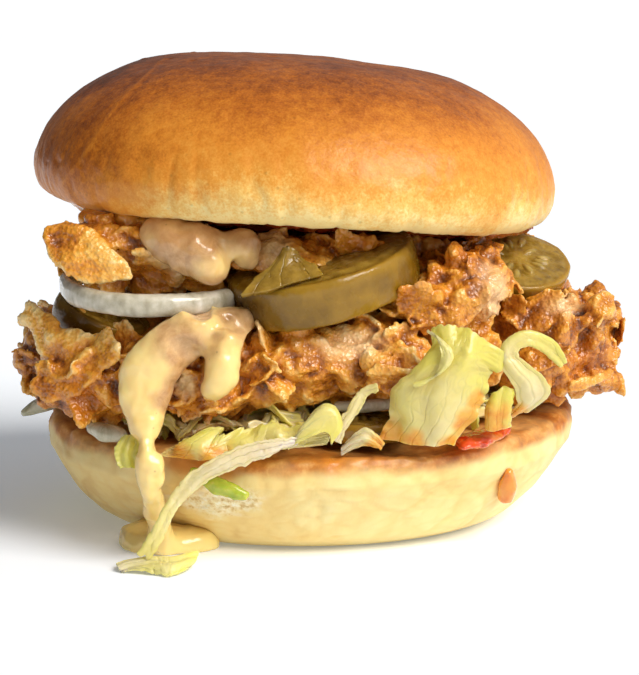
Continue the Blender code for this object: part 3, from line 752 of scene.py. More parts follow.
def scatterTree():
    tree = bpy.data.node_groups.new("scatterOverSurface", "GeometryNodeTree")
    tree.interface.new_socket(name="Surface", in_out="INPUT", socket_type="NodeSocketGeometry")
    for label, kind in (
        ("Shapes", "Collection"), ("Spacing", "Float"), ("Seed", "Int"), ("Smallest", "Float"),
        ("Largest", "Float"),
        ("Least lean", "Float"), ("Most lean", "Float"), ("Finish", "Material")
    ):
        tree.interface.new_socket(name=label, in_out="INPUT", socket_type="NodeSocket" + kind)
    tree.interface.new_socket(name="Geometry", in_out="OUTPUT", socket_type="NodeSocketGeometry")
    nodes, links = tree.nodes, tree.links
    given = nodes.new("NodeGroupInput").outputs
    spread = nodes.new("GeometryNodeDistributePointsOnFaces")
    spread.distribute_method = "POISSON"
    spread.inputs["Density Max"].default_value = 400000.0
    cover = nodes.new("GeometryNodeInputNamedAttribute")
    cover.data_type = "FLOAT"
    cover.inputs["Name"].default_value = "cover"
    shapes = nodes.new("GeometryNodeCollectionInfo")
    shapes.inputs["Separate Children"].default_value = True
    shapes.inputs["Reset Children"].default_value = True
    spin = nodes.new("FunctionNodeRandomValue")
    spin.data_type = "FLOAT_VECTOR"
    spin.inputs[1].default_value = (0, 0, 2 * math.pi)
    lean = nodes.new("FunctionNodeRandomValue")
    leanTurn = nodes.new("ShaderNodeCombineXYZ")
    size = nodes.new("FunctionNodeRandomValue")
    spinTurn = nodes.new("FunctionNodeEulerToRotation")
    leanRotation = nodes.new("FunctionNodeEulerToRotation")
    first, second = nodes.new("FunctionNodeRotateRotation"), nodes.new("FunctionNodeRotateRotation")
    first.rotation_space = second.rotation_space = "LOCAL"
    put = nodes.new("GeometryNodeInstanceOnPoints")
    put.inputs["Pick Instance"].default_value = True
    real = nodes.new("GeometryNodeRealizeInstances")
    paint = nodes.new("GeometryNodeSetMaterial")
    out = nodes.new("NodeGroupOutput")
    joins = (
        (given["Surface"], spread.inputs["Mesh"]), (given["Spacing"], spread.inputs["Distance Min"]),
        (cover.outputs["Attribute"], spread.inputs["Density Factor"]), (given["Seed"], spread.inputs["Seed"]),
        (given["Shapes"], shapes.inputs["Collection"]), (given["Seed"], spin.inputs["Seed"]),
        (given["Seed"], lean.inputs["Seed"]),
        (given["Least lean"], lean.inputs[2]), (given["Most lean"], lean.inputs[3]),
        (lean.outputs[1], leanTurn.inputs["X"]),
        (given["Smallest"], size.inputs[2]), (given["Largest"], size.inputs[3]),
        (given["Seed"], size.inputs["Seed"]),
        (spin.outputs[0], spinTurn.inputs[0]), (leanTurn.outputs[0], leanRotation.inputs[0]),
        (spread.outputs["Rotation"], first.inputs[0]), (spinTurn.outputs[0], first.inputs[1]),
        (first.outputs[0], second.inputs[0]), (leanRotation.outputs[0], second.inputs[1]),
        (spread.outputs["Points"], put.inputs["Points"]), (shapes.outputs[0], put.inputs["Instance"]),
        (second.outputs[0], put.inputs["Rotation"]), (size.outputs[1], put.inputs["Scale"]),
        (put.outputs[0], real.inputs[0]), (real.outputs[0], paint.inputs["Geometry"]),
        (given["Finish"], paint.inputs["Material"]),
        (paint.outputs[0], out.inputs[0])
    )
    for start, end in joins:
        links.new(start, end)
    return tree


scatter = scatterTree()


def scattered(name, surface, shapes, finish, spacing, seed, sizes, lean):
    # a plain mesh of the shapes spread over the surface's "cover" attribute; lean in degrees
    holder = newObject(name, surface.data.copy())
    spread = holder.modifiers.new("spread", "NODES")
    spread.node_group = scatter
    values = {
        "Shapes": shapes, "Spacing": spacing * mm, "Seed": seed, "Smallest": sizes[0], "Largest": sizes[1],
        "Least lean": math.radians(lean[0]), "Most lean": math.radians(lean[1]), "Finish": finish,
    }
    for item in scatter.interface.items_tree:
        if item.in_out == "INPUT" and item.name in values:
            spread[item.identifier] = values[item.name]
    return applied(holder)


def joined(obj, other):
    bm = bmesh.new()
    bm.from_mesh(obj.data)
    bm.from_mesh(other.data)
    bm.to_mesh(obj.data)
    bm.free()
    bpy.data.objects.remove(other)
    return obj


# Fried chicken: puffed batter with creases, ragged flakes, all fused into one crisp skin

chickenLook = {
    "chicken_lower": {
        "seed": 101, "skin": 0.52, "spacing": 3.1, "sizes": (0.65, 1.35), "core": 24, "most": 196000
    },
    "chicken_middle": {
        "seed": 131, "skin": 0.45, "spacing": 3.4, "sizes": (0.6, 1.15), "core": 0, "most": 90000
    },
    "chicken_right": {
        "seed": 161, "skin": 0.48, "spacing": 3.2, "sizes": (0.65, 1.35), "core": 0, "most": 140000
    },
    "chicken_upper": {
        "seed": 191, "skin": 0.52, "spacing": 3.0, "sizes": (0.65, 1.3), "core": 24, "most": 180000
    },
}
glazeSpots = [
    (-2, -49, 44, 7), (4, -48, 40, 6), (-10, -44, 43, 6), (18, -42, 55, 9), (26, -32, 57, 8),
    (-38, -33, 59, 9), (-28, -36, 56, 7),
    (-50, -22, 42, 6), (36, -36, 44, 6), (52, -20, 33, 6), (-44, -42, 30, 6), (10, -36, 58, 9),
    (-12, -38, 57, 9),
]
creamSpots = [
    (-20, -47, 48, 5), (-12, -46, 46, 4.5), (-25, -48, 42, 5), (-20.5, -48, 43, 3.5), (-29, -47, 36, 4.5),
    (-13, -48, 40, 3), (-24, -49, 33, 3.5),
    (-27, -42, 58, 5), (-18, -43, 60, 6), (-8, -41, 60, 5), (-13, -43, 55, 3),
]
paleSpots = [(8, -46, 40.5, 7, 3.8), (34, -36, 49, 4, 7), (50, -22, 45, 5, 3)]

crustShapes = shapesKept("crustShapes", [
    flakeShape("flakeA", 1, 3.9, 3.0, 0.3, 1.0), flakeShape("flakeB", 2, 3.1, 2.7, -0.4, 0.9),
    flakeShape("flakeC", 3, 4.8, 3.1, 0.2, 1.0),
    flakeShape("flakeD", 4, 2.6, 2.2, 0.4, 0.9), flakeShape("flakeE", 5, 3.8, 3.5, -0.3, 1.1),
    flakeShape("flakeF", 9, 2.0, 1.5, 0.2),
    nubShape("nubA", 6, 2.2), nubShape("nubB", 7, 3.0),
])


crustPlates = {  # large plates of crust that stand out, as rows of points and a thickness
    "chicken_upper": [([
        [(-50.0, -39.0, 60.0), (-49.9, -38.5, 61.0), (-49.5, -38.0, 62.0)],
        [(-48.0, -40.5, 55.6), (-47.2, -40.5, 59.5), (-46.0, -37.0, 63.0)],
        [(-44.2, -42.5, 52.0), (-43.2, -43.0, 57.0), (-42.0, -39.0, 62.4)],
        [(-40.2, -43.8, 51.0), (-39.6, -44.0, 55.6), (-39.0, -41.0, 60.4)],
        [(-36.6, -44.2, 52.0), (-36.6, -44.2, 55.0), (-36.6, -42.5, 58.0)],
        [(-33.0, -44.0, 52.8), (-33.4, -43.8, 54.0), (-33.8, -43.5, 55.2)],
    ], 1.1)],
    "chicken_lower": [([
        [(-56.6, -29.0, 42.0), (-55.6, -30.0, 44.4), (-54.6, -29.0, 46.6)],
        [(-53.4, -32.0, 40.5), (-52.2, -33.0, 42.6), (-51.0, -32.0, 45.0)],
        [(-51.6, -34.0, 37.0), (-49.6, -36.0, 39.8), (-47.0, -35.0, 43.0)],
        [(-50.0, -35.5, 34.0), (-46.8, -37.5, 37.6), (-42.0, -38.5, 41.8)],
        [(-48.4, -36.0, 31.6), (-46.4, -38.0, 33.6), (-44.0, -38.5, 36.6)],
    ], 1.3)],
    "chicken_right": [([
        [(50.0, -26.0, 28.4), (50.5, -27.0, 30.6)], [(56.0, -23.0, 29.2), (56.5, -24.0, 31.0)],
        [(62.0, -19.0, 30.8), (62.0, -19.5, 31.6)],
    ], 1.0), ([
        [(55.0, -19.0, 40.0), (55.5, -21.0, 43.0), (56.0, -19.0, 46.0)],
        [(58.5, -19.0, 40.4), (59.0, -22.0, 43.2), (59.0, -19.0, 46.2)],
        [(61.6, -18.0, 41.6), (62.2, -19.0, 43.2), (62.0, -18.0, 45.2)],
    ], 1.6)],
}


def chickenFinish():
    f = Finish(
        "friedCoating", Roughness=0.34, Coat_Weight=0.40, Coat_Roughness=0.11, Subsurface_Weight=0.05,
        Subsurface_Scale=0.0020
    )
    f.shader.inputs["Subsurface Radius"].default_value = (1.0, 0.35, 0.1)
    # the tone attribute holds the crust's own tone with painted highlights on ridges and painted shade in
    # creases, low on the left and under the top bun
    tone = f.math("ADD", f.value("tone"), f.levels(f.noise(3.6, 4, 0.65), 0.3, 0.7, -0.13, 0.13))
    tone = f.math("ADD", tone, f.levels(f.noise(0.7, 2, 0.6), 0.3, 0.7, -0.09, 0.09))
    colour = f.ramp(
        tone, (0.0, (0.12, 0.028, 0.002)), (0.2, (0.35, 0.098, 0.006)), (0.42, (0.62, 0.220, 0.015)),
        (0.64, (0.78, 0.335, 0.032)), (0.84, (0.89, 0.48, 0.095)), (1.0, (0.94, 0.66, 0.27))
    )
    glazed = f.mix(0.62, colour, (0.62, 0.185, 0.010))
    colour = f.mix(f.value("glaze"), colour, glazed)
    colour = f.mix(f.math("MULTIPLY", f.value("pale"), 0.75), colour, (0.90, 0.60, 0.33))
    film = f.ramp(f.noise(2.4, 3, 0.6), (0.3, (0.62, 0.36, 0.13)), (0.7, (0.86, 0.62, 0.28)))
    f.set("Base Color", f.mix(f.math("MULTIPLY", f.value("cream"), 0.85), colour, film))
    f.set(
        "Roughness",
        f.math(
            "SUBTRACT", f.levels(f.noise(2.0, 3), 0.3, 0.7, 0.22, 0.46),
            f.math("MULTIPLY", f.value("glaze"), 0.14)
        )
    )
    grains = f.bump(f.cells(0.75), 0.30, 0.8)
    f.relief(f.bump(f.noise(1.4, 4, 0.65), 0.30, 0.65, grains))
    return f.material


fried = chickenFinish()
crustLumps = {  # extra swellings, as a centre and three radii
    "chicken_upper": [(-38, -37, 60.5, 7.5, 6, 4.6), (-29, -38, 60, 6, 6, 5)],
    "chicken_lower": [(-32, -13, 48.5, 7, 7, 3.6)],
    "chicken_right": [(57, -19.5, 42, 5.5, 4, 3.6)],
}
# where the crust stays back
lowSpots = {"chicken_lower": [(-42, -35, 44, 8), (-37, -38, 43, 5)], "chicken_right": [(65, -18, 35, 7)]}


def lump(spot, size, seed):
    shape = nubShape("lump", seed, 1.0)
    setCoords(shape.data, coordsOf(shape.data) / (1, 0.8, 0.65) * size + spot)
    return shape


def pastCore(coords, core, shift=0):  # 1 outside the core, which is hidden inside the burger
    if not core:
        return coords[:, 0] * 0 + 1
    return smoothStep(core + shift, core + shift + 5, np.linalg.norm(coords[:, :2], axis=1))


def makeChicken(node):
    look = chickenLook[node]
    seed = look["seed"]
    piece = copyOfNodes(node + "_crust", node)
    for x, y, z, *size in crustLumps.get(node, []):
        piece = joined(piece, lump((x, y, z), size, seed + 2))
    piece = softened(oneSkin(piece, 0.9), 0.6, 5)
    coords = coordsOf(piece.data)
    warp = np.stack([3.0 * softNoise(coords, 9, seed + k, 2) for k in range(3)], 1)
    near, second, number = cellNoise(coords + warp, 11.0, seed + 3)
    big = np.clip((second - near) / 0.32, 0, 1) ** 0.7 * (0.62 + 0.76 * number)
    near, second, number = cellNoise(coords + warp * 0.8, 5.2, seed + 5)
    small = np.clip((second - near) / 0.35, 0, 1) ** 0.7 * (0.6 + 0.8 * number)
    back = spotted(coords, lowSpots.get(node, [(0, 0, -99, 1)]), seed + 7, 0.1)
    out = normalsOf(piece.data)
    side = smoothStep(0.93, 0.70, np.abs(out[:, 2]))
    edge = pastCore(coords, look["core"])
    rough = 0.25 + 0.75 * np.maximum(side, edge)
    pushed(piece, rough * (2.5 * (big - 0.62) + 1.15 * (small - 0.6) - 1.0) - 2.4 * back)
    inner = BVHTree.FromObject(piece, bpy.context.evaluated_depsgraph_get())
    clump = smoothStep(-0.3, 0.2, softNoise(coords, 9, seed + 9, 2))
    bare = np.zeros(len(coords))
    for x, y, z, wide, tall in paleSpots:
        bare = np.maximum(
            bare, smoothStep(1.3, 0.8, np.linalg.norm((coords - (x, y, z)) / (wide, 9, tall), axis=1))
        )
    addAttribute(
        piece.data, "cover", np.maximum(side, edge) * (0.10 + 0.90 * clump) * (1 - bare) * (1 - 0.9 * back)
    )
    flakes = scattered(
        node + "_flakes", piece, crustShapes, fried, look["spacing"], seed, look["sizes"], (-34, 40)
    )
    piece = joined(piece, flakes)
    for number, (rows, thick) in enumerate(crustPlates.get(node, [])):
        plate = {
            "rows": rows, "fine": (60, 36), "ragged": (0.10, 0.16), "ruffle": (0.7, 4, 3),
            "pleat": (0.35, 1.5, 0.4), "veins": 1, "crumple": 0.9,
            "green": (0, 0), "rib": 0, "seed": seed + 40 + number, "thick": thick, "stain": [],
        }
        piece = joined(piece, leafSheet("plate", plate))
    piece = oneSkin(piece, look["skin"])
    coords = coordsOf(piece.data)
    low, high = boxOf(node)
    inside = np.clip(coords, low, high)
    setCoords(piece.data, inside + 0.5 * (coords - inside))
    coords = coordsOf(piece.data)
    bubble, _, _ = cellNoise(coords, 1.9, seed + 13)
    grains = 0.20 * softNoise(coords, 1.7, seed + 11, 2) + 0.24 * np.abs(softNoise(coords, 1.05, seed + 12))
    pushed(piece, grains + 0.34 * (0.4 - bubble))
    if node == "chicken_right":
        coords = coordsOf(piece.data)
        coords[:, 0] -= 0.17 * np.clip(coords[:, 0] - 50, 0, None)
        setCoords(piece.data, coords)
    out = normalsOf(piece.data)
    side = smoothStep(0.96, 0.75, np.abs(out[:, 2]))
    edge = pastCore(coords, look["core"], -2)
    group = piece.vertex_groups.new(name="seen")
    for index in np.nonzero(edge > 0.5)[0].tolist():
        group.add([index], 1.0, "REPLACE")
    thinned(piece, look["most"], "seen")
    thinned(piece, look["most"])
    coords = coordsOf(piece.data)
    ridge = ridgesOf(piece.data, 5)
    broad = ridgesOf(piece.data, 24)
    proud = np.array([inner.find_nearest(Vector(c * mm))[3] or 0.0 for c in coords]) / mm
    _, _, number = cellNoise(coords, 4.8, seed + 14)
    # lighter on ridges and where the crust stands proud, darker in creases and crevices: painted highlight and
    # painted shade; the cell number and noise give the crust's own tone
    tone = 0.47 + 0.20 * np.clip(ridge / 0.40, -0.9, 0.7) + 0.30 * np.clip(broad / 1.4, -1, 0.7)
    tone += (
        0.14 * np.clip(proud / 2.0, 0, 1) + 0.34 * (number - 0.5) + 0.16 * softNoise(coords, 12, seed + 15)
    )
    pale = np.zeros(len(coords))
    for x, y, z, wide, tall in paleSpots:
        away = np.linalg.norm((coords - (x, y, z)) / (wide, 9, tall), axis=1)
        pale = np.maximum(pale, smoothStep(1.2, 0.3, away + 0.25 * softNoise(coords, 3, seed + 16)))
    glaze = np.zeros(len(coords))
    for x, y, z, size in glazeSpots:
        away = np.linalg.norm(coords - (x, y, z), axis=1) / size
        glaze = np.maximum(glaze, smoothStep(1.1, 0.4, away + 0.35 * softNoise(coords, 4, seed + 17, 2)))
    addAttribute(piece.data, "cream", spotted(coords, creamSpots, seed + 19, 0.5, 2.6))
    # painted shade: darker low on the left, the side away from the light
    tone -= 0.22 * smoothStep(-18, -38, coords[:, 0]) * smoothStep(40, 30, coords[:, 2])
    # darker towards the right, and painted shade near the top, under the top bun
    tone -= 0.13 * smoothStep(15, 35, coords[:, 0]) + 0.13 * smoothStep(48, 56, coords[:, 2])
    addAttribute(piece.data, "tone", np.clip(tone + 0.3 * pale, 0, 1))
    addAttribute(piece.data, "pale", pale)
    addAttribute(piece.data, "glaze", glaze * (1 - pale))
    return piece


for node in chickenLook:
    finishPiece(makeChicken(node), fried, [node])


# Pickle slices: round slabs with wet wavy rinds, seeds and soft flesh

pickleLook = {
    "pickle_front": {"radius": 18.0, "thick": 8.4, "tilt": (10, -12.5), "seed": 301},
    "pickle_right": {"radius": 11.2, "thick": 4.6, "tilt": (32, 15), "seed": 321},
    "pickle_left": {"radius": 9.4, "thick": 5.0, "tilt": (12, 22), "seed": 341},
    "pickle_low": {"radius": 10.0, "thick": 4.6, "tilt": (2, 0), "seed": 361},
}
frontShade = [(-14.5, -48, 47, 8)]
sideShade = [(-44, -30, 43, 7), (40, -22, 62, 6)]


def makeSlice(node):
    s = pickleLook[node]
    radius, half, sides = s["radius"], s["thick"] / 2, 260
    profile = [(radius * i / 40, -half) for i in range(37)]
    for i in range(21):
        turn = math.pi * (i / 20 - 0.5)
        bend = math.copysign(abs(math.sin(turn)) ** 0.75, math.sin(turn))
        profile.append((radius * 0.925 + radius * 0.075 * abs(math.cos(turn)) ** 0.6, half * bend))
    profile += [(radius * i / 40, half) for i in range(36, -1, -1)]
    local, faces = lathe(profile, sides)
    angle = np.arctan2(local[:, 1], local[:, 0])
    reach = np.linalg.norm(local[:, :2], axis=1)
    local[:, :2] *= (1 + 0.02 * np.cos(3 * angle + radius) + 0.015 * np.cos(2 * angle))[:, None]
    face = smoothStep(0.97, 0.90, reach / radius)
    up = np.sign(local[:, 2])
    middle = smoothStep(0.72, 0.55, reach / radius)
    seeds = np.zeros(len(local))
    count = int(radius * 1.3)
    for i in range(count):
        turn = 2 * math.pi * (i + 0.3 * math.sin(5 * i)) / count
        spot = radius * (0.46 + 0.10 * math.sin(2.4 * i))
        along = (
            (local[:, 0] - spot * math.cos(turn)) * math.cos(turn)
            + (local[:, 1] - spot * math.sin(turn)) * math.sin(turn)
        )
        across = (
            (local[:, 1] - spot * math.sin(turn)) * math.cos(turn)
            - (local[:, 0] - spot * math.cos(turn)) * math.sin(turn)
        )
        seeds = np.maximum(seeds, np.clip(1 - (along / 1.7) ** 2 - (across / 0.75) ** 2, 0, 1))
    dish = -s["thick"] * 0.05 * smoothStep(0.93, 0.80, reach / radius)
    local[:, 2] += up * face * (
        0.45 * softNoise(local, 3.4, s["seed"], 3) - dish
        + 0.6 * seeds ** 0.5 * middle * (node != "pickle_front")
    )
    forward, sideways = (math.radians(angle) for angle in s["tilt"])
    tilt = Matrix.Rotation(sideways, 3, "Y") @ Matrix.Rotation(forward, 3, "X")
    obj = objectFrom(node + "_slice", fitted(local @ np.array(tilt).T, node), faces)
    rind = 1 - face
    around = np.stack([angle * radius, local[:, 2], reach * 0], 1)
    swell = rind * (
        0.40 * softNoise(around, 7, s["seed"] + 4, 2) + 0.08 * softNoise(around, 1.6, s["seed"] + 6, 2)
    )
    near, _, number = cellNoise(around, 2.6, s["seed"] + 7)
    swell += rind * 0.22 * (number > 0.72) * smoothStep(0.26, 0.08, near)
    pushed(obj, swell)
    if node == "pickle_left":
        obj.data.transform(Matrix.Translation((0, -0.004, 0.0015)))
    addAttribute(obj.data, "flesh", smoothStep(0.93, 0.86, reach / radius) * face)
    addAttribute(
        obj.data, "dark",
        spotted(coordsOf(obj.data), frontShade if node == "pickle_front" else sideShade, 311)
    )
    addAttribute(obj.data, "seed", seeds * 0.35)
    addAttribute(obj.data, "top", smoothStep(0.25, 0.85, local[:, 2] / half) * rind)
    return obj


def pickleFinish():
    f = Finish(
        "pickleFlesh", Roughness=0.30, Coat_Weight=0.22, Coat_Roughness=0.07, Specular_IOR_Level=0.35,
        Subsurface_Weight=0.35, Subsurface_Scale=0.004
    )
    f.shader.inputs["Subsurface Radius"].default_value = (1.0, 0.8, 0.15)
    broad = f.math("ADD", f.noise(14, 2, 0.5), f.levels(f.noise(3.4, 4, 0.6, 0.6), 0.3, 0.7, -0.08, 0.08))
    skin = f.ramp(
        broad, (0.22, (0.11, 0.056, 0.003)), (0.5, (0.215, 0.112, 0.006)), (0.78, (0.37, 0.205, 0.017))
    )
    skin = f.mix(f.math("MULTIPLY", f.value("top"), 0.55), skin, (0.40, 0.23, 0.026))
    skin = f.mix(f.math("MULTIPLY", f.value("dark"), 0.82), skin, (0.060, 0.024, 0.002))
    flesh = f.ramp(f.noise(2.6, 4, 0.6), (0.3, (0.16, 0.088, 0.005)), (0.7, (0.40, 0.25, 0.040)))
    flesh = f.mix(f.value("seed"), flesh, (0.54, 0.44, 0.15))
    f.set("Base Color", f.mix(f.value("flesh"), skin, flesh))
    f.set("Roughness", f.levels(f.noise(1.8, 3), 0.3, 0.7, 0.12, 0.34))
    f.relief(f.bump(f.noise(1.2, 3, 0.6), 0.14, 0.6, f.bump(f.noise(3.4, 2), 0.5, 0.5)))
    return f.material


pickled = pickleFinish()
for node in pickleLook:
    finishPiece(makeSlice(node), pickled, [node])

tornFlap = {  # a torn flap of flesh that stands on the front slice
    "rows": [
        [(-13.0, -50.0, 50.2), (-8.0, -50.8, 51.2), (-3.0, -50.4, 52.6), (2.4, -49.6, 54.0)],
        [(-10.6, -48.6, 52.6), (-7.2, -49.0, 53.8), (-3.4, -48.8, 55.0), (1.4, -48.2, 55.2)],
        [(-7.2, -47.2, 55.4), (-5.6, -47.4, 56.6), (-3.8, -47.4, 57.4), (-1.6, -47.0, 56.2)],
        [(-5.2, -46.2, 57.8), (-4.6, -46.4, 58.8), (-3.8, -46.4, 58.8), (-2.8, -46.0, 57.6)],
    ],
    "fine": (70, 90), "ragged": (0.06, 0.04), "ruffle": (0.4, 3, 2), "pleat": (0.18, 1.6, 0.4), "veins": 3,
    "green": (0, 0), "rib": 0, "seed": 381, "thick": 0.9, "stain": [],
}
flap = leafSheet("pickleFlap", tornFlap)
addAttribute(flap.data, "flesh", np.full(len(flap.data.vertices), 0.9))
finishPiece(flap, pickled, ["pickle_front"])


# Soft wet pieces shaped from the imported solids: onion and sauces

def softPiece(name, node, voxel, smooth, swell):
    piece = softened(oneSkin(copyOfNodes(name, node), voxel), 0.7, smooth)
    return pushed(piece, swell)


onionLook = {
    "onion_ring": {"voxel": 0.42, "smooth": 12, "swell": 0.25},
    "onion_sliver": {"voxel": 0.26, "smooth": 8, "swell": 0.12},
    "onion_bit": {"voxel": 0.22, "smooth": 8, "swell": 0.10},
    "onion_strip": {"voxel": 0.22, "smooth": 8, "swell": 0.10},
}


def makeOnion(node):
    s = onionLook[node]
    piece = softPiece(node + "_flesh", node, s["voxel"], s["smooth"], s["swell"])
    coords = coordsOf(piece.data)
    if node == "onion_ring":
        coords[:, 0] += 0.20 * np.clip(-32 - coords[:, 0], 0, None)
        setCoords(piece.data, coords)
    low, high = boxOf(node)
    centre = (low + high) / 2
    angle = np.arctan2(coords[:, 1] - centre[1], coords[:, 0] - centre[0])
    around = np.stack([angle * 19.6, coords[:, 2] * 0.25, coords[:, 0] * 0], 1)
    pushed(piece, 0.012 * softNoise(around, 1.2, 401, 2) + 0.22 * softNoise(coords, 3.2, 402, 2))
    coords = coordsOf(piece.data)
    height = (coords[:, 2] - low[2]) / (high[2] - low[2])
    addAttribute(piece.data, "streak", 0.5 + 0.25 * softNoise(around, 1.2, 404, 3))
    addAttribute(piece.data, "tint", np.clip(1 - height, 0, 1) if node != "onion_ring" else height * 0)
    return piece


def onionFinish():
    f = Finish(
        "onionFlesh", Roughness=0.22, Coat_Weight=0.5, Coat_Roughness=0.10, Subsurface_Weight=0.55,
        Subsurface_Scale=0.006, Transmission_Weight=0.15
    )
    f.shader.inputs["Subsurface Radius"].default_value = (1.0, 0.95, 0.8)
    streaks = f.math("ADD", f.value("streak"), f.levels(f.noise(3.0, 4, 0.6), 0.3, 0.7, -0.25, 0.25))
    white = f.ramp(streaks, (0.2, (0.36, 0.32, 0.22)), (0.55, (0.62, 0.57, 0.44)), (0.85, (0.84, 0.79, 0.67)))
    f.set("Base Color", f.mix(f.math("MULTIPLY", f.value("tint"), 0.45), white, (0.46, 0.50, 0.30)))
    f.relief(f.bump(f.noise(0.8, 3), 0.08, 0.4))
    return f.material


onionSkin = onionFinish()
for node in onionLook:
    finishPiece(makeOnion(node), onionSkin, [node])


sauceLook = {
    "cream_flow": {"voxel": 0.40, "smooth": 16, "swell": 0.38, "grain": 0.35, "slot": "cream_sauce"},
    "cream_top": {"voxel": 0.34, "smooth": 12, "swell": 0.34, "grain": 0.45, "slot": "cream_sauce"},
    "chilli_layer": {"voxel": 0.55, "smooth": 5, "swell": 0.15, "grain": 0.9, "slot": "chilli_sauce"},
    "chilli_pool": {"voxel": 0.22, "smooth": 6, "swell": 0.14, "grain": 0.5, "slot": "chilli_sauce"},
    "chilli_drop": {"voxel": 0.20, "smooth": 8, "swell": 0.16, "grain": 0.1, "slot": "chilli_sauce"},
}
# the cream starts low, as a thin film on the chicken
topSpots = [(-8, -47, 49, 7), (-14, -48, 49.5, 7), (-20, -48, 47.5, 4)]
flatSpots = [(-18, -48, 44, 5), (-23, -50, 40, 4)]
thinSpots = [  # where the cream is thin and the chicken shows through
    (-24, -50, 41, 7), (-12, -47, 46, 6), (-24.5, -50, 35, 5), (-27, -50, 31, 4), (-15, -47, 47, 5),
    (-21, -46, 46, 5), (-22, -44, 60, 8), (-14, -42, 61, 6), (-17, -49, 42, 3),
]


def makeSauce(node):
    s = sauceLook[node]
    piece = softPiece(node + "_sauce", node, s["voxel"], s["smooth"], s["swell"])
    coords = coordsOf(piece.data)
    pushed(
        piece, s["grain"] * softNoise(coords, 3.2, 451, 2) + 0.25 * s["grain"] * softNoise(coords, 1.1, 453)
    )
    if node == "cream_flow":
        coords = coordsOf(piece.data)
        column = smoothStep(6, 10, coords[:, 2]) * smoothStep(30, 22, coords[:, 2])
        pushed(piece, 0.75 * softNoise(coords, 2.8, 463, 2) * column)
        coords = coordsOf(piece.data)
        coords[:, 2] += 1.3 * smoothStep(0.4, 2.2, coords[:, 2]) * smoothStep(9, 4, coords[:, 2])
        setCoords(piece.data, coords)
        coords = coordsOf(piece.data)
        coords += (
            np.outer(spotted(coords, topSpots, 456, 0.15), (0, 2.6, -2.4))
            + np.outer(spotted(coords, flatSpots, 457, 0.2), (0, 1.8, 0))
        )
        setCoords(piece.data, coords)
    if node == "cream_top":
        pushed(piece, 0.9 * softNoise(coords, 5.0, 461, 2))
    coords = coordsOf(piece.data)
    setCoords(piece.data, np.maximum(coords, (-999, -999, 0.03)))
    if node == "chilli_pool":  # lies flat on the bread
        low, high = boxOf(node)
        pushed(piece, 0.5 + 0.6 * softNoise(coords, 2.6, 458, 2))
        coords = coordsOf(piece.data)
        coords[:, 1] = low[1] + (coords[:, 1] - low[1]) * 2.4 + 2.2
        coords[:, 0] = high[0] + (coords[:, 0] - high[0]) * 0.85 - 2
        coords[:, 2] = low[2] + (coords[:, 2] - low[2]) * 0.55 + 0.4 * softNoise(coords, 2.2, 457, 2)
        setCoords(piece.data, coords)
    coords = coordsOf(piece.data)
    # orange marks the chilli layer's left end, which is drawn as a bright orange glaze, partly painted light
    addAttribute(piece.data, "orange", smoothStep(-20, -28, coords[:, 0]))
    addAttribute(piece.data, "drop", coords[:, 0] * 0 + (node == "chilli_drop"))
    thin = spotted(coords, thinSpots, 455, 0.45, 4.0)
    if node == "cream_top":
        thin = np.clip(0.80 + 0.9 * softNoise(coords, 5, 459, 2), 0, 1)
    addAttribute(piece.data, "thin", thin)
    return thinned(piece, 120000)


def creamFinish():
    f = Finish(
        "creamSauce", Roughness=0.22, Coat_Weight=0.35, Coat_Roughness=0.09, Subsurface_Weight=0.30,
        Subsurface_Scale=0.004
    )
    f.shader.inputs["Subsurface Radius"].default_value = (1.0, 0.6, 0.3)
    cloud = f.noise(7, 3, 0.55, 0.4)
    cream = f.ramp(cloud, (0.3, (0.92, 0.62, 0.22)), (0.55, (0.96, 0.71, 0.28)), (0.8, (0.97, 0.78, 0.40)))
    tan = f.ramp(
        f.noise(2.8, 4, 0.65, 0.5), (0.3, (0.40, 0.185, 0.070)), (0.6, (0.60, 0.35, 0.16)),
        (0.8, (0.80, 0.54, 0.26))
    )
    height = f.add("ShaderNodeSeparateXYZ", {"Vector": f.place}).outputs["Z"]
    tan = f.mix(f.levels(height, 0.057, 0.064, 0.0, 0.7), tan, (0.62, 0.26, 0.075))
    cream = f.mix(f.math("MULTIPLY", f.value("thin"), 0.9), cream, tan)
    # painted light: near the floor the pool is drawn brighter and more saturated, where the flow and the
    # lettuce strip shade it
    cream = f.mix(f.levels(height, 0.002, 0.012, 0.8, 0.0), cream, (0.98, 0.72, 0.25))
    specks = f.levels(f.cells(3.1), 0.05, 0.09, 0.75, 1.0)
    f.set("Base Color", f.shaded(cream, specks))
    f.relief(f.bump(f.noise(2.2, 2), 0.12, 0.3))
    return f.material


